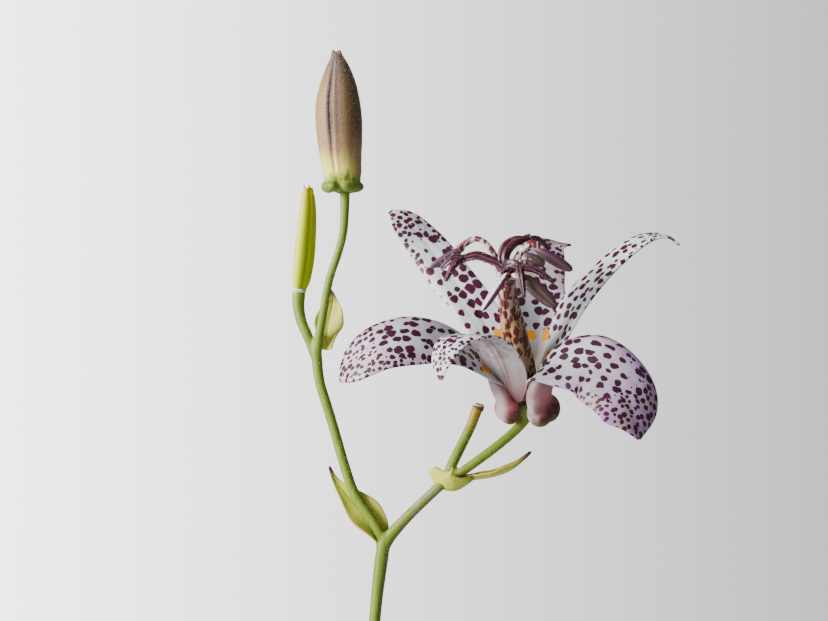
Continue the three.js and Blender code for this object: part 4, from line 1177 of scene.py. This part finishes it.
# The line, the radii and the two tips of each arm.
ARMS = [
    ([(-1.0, 0, 19.7), (-1.8, 0.2, 20.9), (-3.2, 0.5, 21.6), (-4.8, 0.9, 22.2), (-6.6, 1.2, 21.9)],
     (0.8, 0.62, 0.6, 0.62, 0.55), [(-10.1, 1.3, 20.7), (-9.6, -1.0, 19.5)]),
    ([(-1.0, 0, 19.7), (-1.2, 0.6, 21.4), (-0.6, 1.6, 22.6), (0.8, 3.0, 23.1), (2.5, 4.1, 22.8)],
     (0.85, 0.85, 0.9, 0.75, 0.6), [(5.6, 5.4, 20.9), (3.2, 7.6, 21.2)]),
    ([(-1.0, -0.1, 19.6), (-0.6, -1.0, 20.7), (0.1, -1.7, 21.2), (0.9, -2.3, 20.95)],
     (0.8, 0.85, 0.7, 0.6), [(5.6, -3.3, 18.4), (1.1, -5.8, 17.5)]),
]
# Style and filaments: cream to tan, with painted shade in darker tan along one edge of each, where the
# filaments meet, long dark red blotches low down and small red specks above, and white at the top.
column_finish, node, shader = finish_named(
    "blotched column", 0.45, Subsurface_Weight=0.15,
    Subsurface_Radius=(0.0008, 0.0005, 0.0003))
place = node("TexCoord").outputs["Object"]
share = marks(node, "share")
mm_along = marks(node, "place")["X"]
high = node("MapRange", mm_along, 11, 17)
cream = node("MixRGB", high, "#9E8058", "#C2AEA6")
whitened = laid_over(node, cream, "#CDC6CC", mm_along, 18, 20)
# Darker tan along one edge of each filament is painted shade in the gap where it meets the next.
tan_with_gap_shade = laid_over(node, whitened, "#7A5234", share["Z"], 0.5, 1, 0, 0.4)
long = node("Mapping", place, Scale=(1, 1, 0.5))
wobble = node("TexNoise", place, Scale=spaced(1.111), Detail=2).outputs["Color"]
mixed = node("MixRGB", 0.0008, long, wobble)
cell = node("TexVoronoi", mixed, Scale=spaced(0.6897))
chance = node("SeparateXYZ", cell.outputs["Color"]).outputs["X"]
size = node("MapRange", chance, 0, 1, 0.42, 0.82)
smaller = node("MapRange", mm_along, 15, 21, 0, 0.06)
reach = node("Math", size, smaller, operation="SUBTRACT")
inside = node("Math", reach, cell.outputs["Distance"], operation="SUBTRACT")
blotch = node("MapRange", inside, 0, 0.07)
red = node("MixRGB", high, "#4E0C0A", "#60161A")
blotched = node("MixRGB", blotch, tan_with_gap_shade, red)
dressed(node, shader, blotched)

bm = marked()
rod(bm, bent(STYLE), sides=24, steps=30)
style = shaped("style", bm, column_finish, place=flower_place)
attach(style, "root")
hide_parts("flower_pistil")

# Stigma arm: velvety maroon with mauve ridges along it.
arm_finish, node, shader = finish_named("ridged maroon arm", 0.4, Subsurface_Weight=0.1)
share = marks(node, "share")
place = node("TexCoord").outputs["Object"]
fold = node("Math", share["Y"], 7, operation="MULTIPLY")
ridge = node("Math", fold, operation="SINE")
blur = node("TexNoise", place, Scale=spaced(1.429), Detail=3)
level = node("Math", blur, 2.2, ridge, operation="MULTIPLY_ADD")
maroon = laid_over(node, "#2A040E", "#643048", level, 1.2, 2.1, 0, 0.9)
dressed(node, shader, maroon, level, strength=0.6, depth_mm=0.1)


def ridged(t, angle):
    """Five low ridges."""
    return 1 + 0.12 * math.cos(5 * angle)


arm_rods = []
for k, (line, widths, tips) in enumerate(ARMS):
    bm = marked()
    rods = [[(*point, radius) for point, radius in zip(line, widths)]]
    fork = Vector(line[-1])
    for tip in tips:
        bow = (fork + Vector(tip)) / 2 + Vector((0, 0, 0.7))
        rods.append([(*fork, PRONG_RADIUS), (*bow, PRONG_RADIUS), (*tip, 0.26)])
    for rows in rods:
        rod(bm, rows, sides=20, steps=28, section=ridged)
    arm_rods += rods
    arm = shaped(f"stigma_arm_{k + 1}", bm, arm_finish, place=flower_place)
    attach(arm, "root")
    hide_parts("flower_pistil")

# Beads and hairs: glistening round glands on the arms, with clear hairs between them.
BEADS_AND_HAIRS_PER_MM = 11
beads, hairs = bmesh.new(), bmesh.new()
for rows in arm_rods:
    for k in range(int(run_of(rows) * BEADS_AND_HAIRS_PER_MM)):
        t = dice.uniform(0.02, 0.99)
        middle, radius, way, out = way_off(rows, t, reach=0.05)
        if k % 2:
            seat = Matrix.Translation(middle + out * (radius + 0.03))
            bmesh.ops.create_uvsphere(beads, u_segments=7, v_segments=5, radius=dice.uniform(0.07, 0.14),
                                      matrix=seat)
        else:
            hair(hairs, middle + out * radius * 0.9, (out + way * 0.3).normalized(),
                 dice.uniform(0.35, 0.75), width=0.034)
# Gland: wet-looking dark red bead.
gland_finish, *_ = finish_named("stigma gland", 0.18, Coat_Weight=0.4, Base_Color="#40102A")
glands = shaped("stigma_beads", beads, gland_finish, place=flower_place)
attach(glands, "root")
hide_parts("flower_pistil")
arm_down = shaped("stigma_hairs", hairs, down_finish, place=flower_place)
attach(arm_down, "root")
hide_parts("flower_pistil")


# Stamens: six flat filaments pressed together round the style; at the top each arches out
# into the back of its anther, which hangs and opens along its outer face.
ARCH_RADIUS = 0.58
# Rows of distance from the axis, height and half width.
UPRIGHT = [(1.3, 1.8, 0.8), (1.5, 5.0, 0.98), (1.4, 10.0, 0.86), (1.1, 15.0, 0.68), (0.95, 18.0, 0.55)]
# Azimuth of each filament's foot, the way its anther faces, the anther's half width, the line
# of its arch, and the two ends of the anther.
STAMENS = [
    (-140, (-1, -0.1, 0.3), 0.75, [(-1.85, -0.95, 19.2), (-1.8, -1.6, 19.7), (-1.9, -2.3, 19.0)],
     ((-0.8, -1.9, 20.1), (-4.9, -3.6, 15.4))),
    (-80, (-0.3, -0.85, 0.5), 1.0,
     [(-0.5, -1.2, 19.0), (0.3, -1.9, 19.5), (1.4, -2.7, 19.5), (2.3, -3.3, 18.7)],
     ((1.3, -3.0, 19.7), (5.4, -4.4, 15.2))),
    (-20, (0.2, -0.9, 0.1), 0.7,
     [(0.4, -0.4, 19.7), (1.2, -0.5, 20.9), (2.0, -0.8, 21.7), (2.9, -1.0, 21.5)],
     ((1.7, -0.9, 22.2), (4.6, -1.2, 20.5))),
    (40, (-0.3, -0.6, -0.8), 0.95,
     [(0.2, 0.9, 20.2), (1.2, 1.3, 21.7), (2.3, 1.6, 22.7), (3.5, 1.5, 22.9), (4.5, 1.1, 22.0)],
     ((3.5, 1.2, 22.3), (8.5, 0.2, 18.8))),
    (100, (0, 1, 0.2), 0.85, [(-1.2, 1.4, 19.8), (-1.3, 2.2, 20.9), (-1.3, 3.2, 21.3), (-1.5, 4.0, 20.6)],
     ((-1.2, 3.0, 21.5), (-1.8, 5.9, 18.0))),
    (160, (-0.3, 1, 0), 0.6,
     [(-2.1, 1.0, 19.8), (-2.3, 2.0, 21.7), (-3.4, 3.0, 23.3), (-4.7, 3.7, 23.9), (-6.0, 4.1, 23.4),
      (-7.4, 4.0, 22.6)],
     ((-6.4, 4.1, 22.7), (-11.7, 3.4, 20.4))),
]


def anther_skin(name, face, rim, rim_share):
    """Anther: a dusty open face between two smooth purple rims."""
    material, node, shader = finish_named(name, 0.5, Subsurface_Weight=0.1)
    share = marks(node, "share")
    place = node("TexCoord").outputs["Object"]
    grain = node("TexNoise", place, Scale=spaced(0.3846), Detail=3)
    level = node("Math", grain, 0.35, share["Y"], operation="MULTIPLY_ADD")
    open_face = node("MapRange", level, rim_share, rim_share + 0.2)
    dusty = node("MixRGB", grain, face[0], face[1])
    whole = node("MixRGB", open_face, rim, dusty)
    dressed(node, shader, whole, grain, strength=0.5, depth_mm=0.1)
    return material


ripe_anther = anther_skin("ripe anther", ("#382A28", "#52423C"), "#462A40", 0.75)
pale_anther = anther_skin("pale anther", ("#BCAEC0", "#D6CCDA"), "#46203C", 0.3)


def filament_section(t, angle):
    """Half as thick toward the facing line as across it at the foot, and rounder higher up."""
    return 1 / math.hypot((2 - 0.8 * t) * math.cos(angle), math.sin(angle))


def anther_section(t, angle):
    """Two long pollen sacs side by side, with a furrow between them on the open face."""
    furrow = 0.2 * math.exp(-(min(angle, math.tau - angle) / 0.28) ** 2)
    return (1 - furrow) / math.hypot(math.cos(angle) / 0.72, math.sin(angle))


for k, (azimuth, open_way, radius, bow, (top, foot)) in enumerate(STAMENS):
    angle = math.radians(azimuth)
    facing = (math.cos(angle), math.sin(angle), 0)
    rows = bent([(reach * facing[0], reach * facing[1], z, half) for reach, z, half in UPRIGHT])
    rows += [(*point, ARCH_RADIUS) for point in bow]
    bm = marked()
    rod(bm, rows, sides=16, steps=10 * len(rows), section=filament_section, facing=facing)
    filament = shaped(f"filament_{k + 1}", bm, column_finish, place=flower_place)
    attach(filament, "root")
    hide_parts("flower_stamens")

    top, foot = Vector(top), Vector(foot)
    rows = [(*top.lerp(foot, step), radius * 1.12 * math.sqrt(max(1 - (2 * step - 1) ** 2, 0)) ** 0.8)
            for step in (0, 0.05, 0.15, 0.3, 0.5, 0.7, 0.85, 0.95, 1)]
    bm = marked()
    rod(bm, rows, sides=28, steps=32, section=anther_section, facing=open_way)
    anther_finish = pale_anther if k == 0 else ripe_anther
    anther = shaped(f"anther_{k + 1}", bm, anther_finish, place=flower_place)
    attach(anther, "root")
    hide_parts("flower_stamens")

low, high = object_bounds()
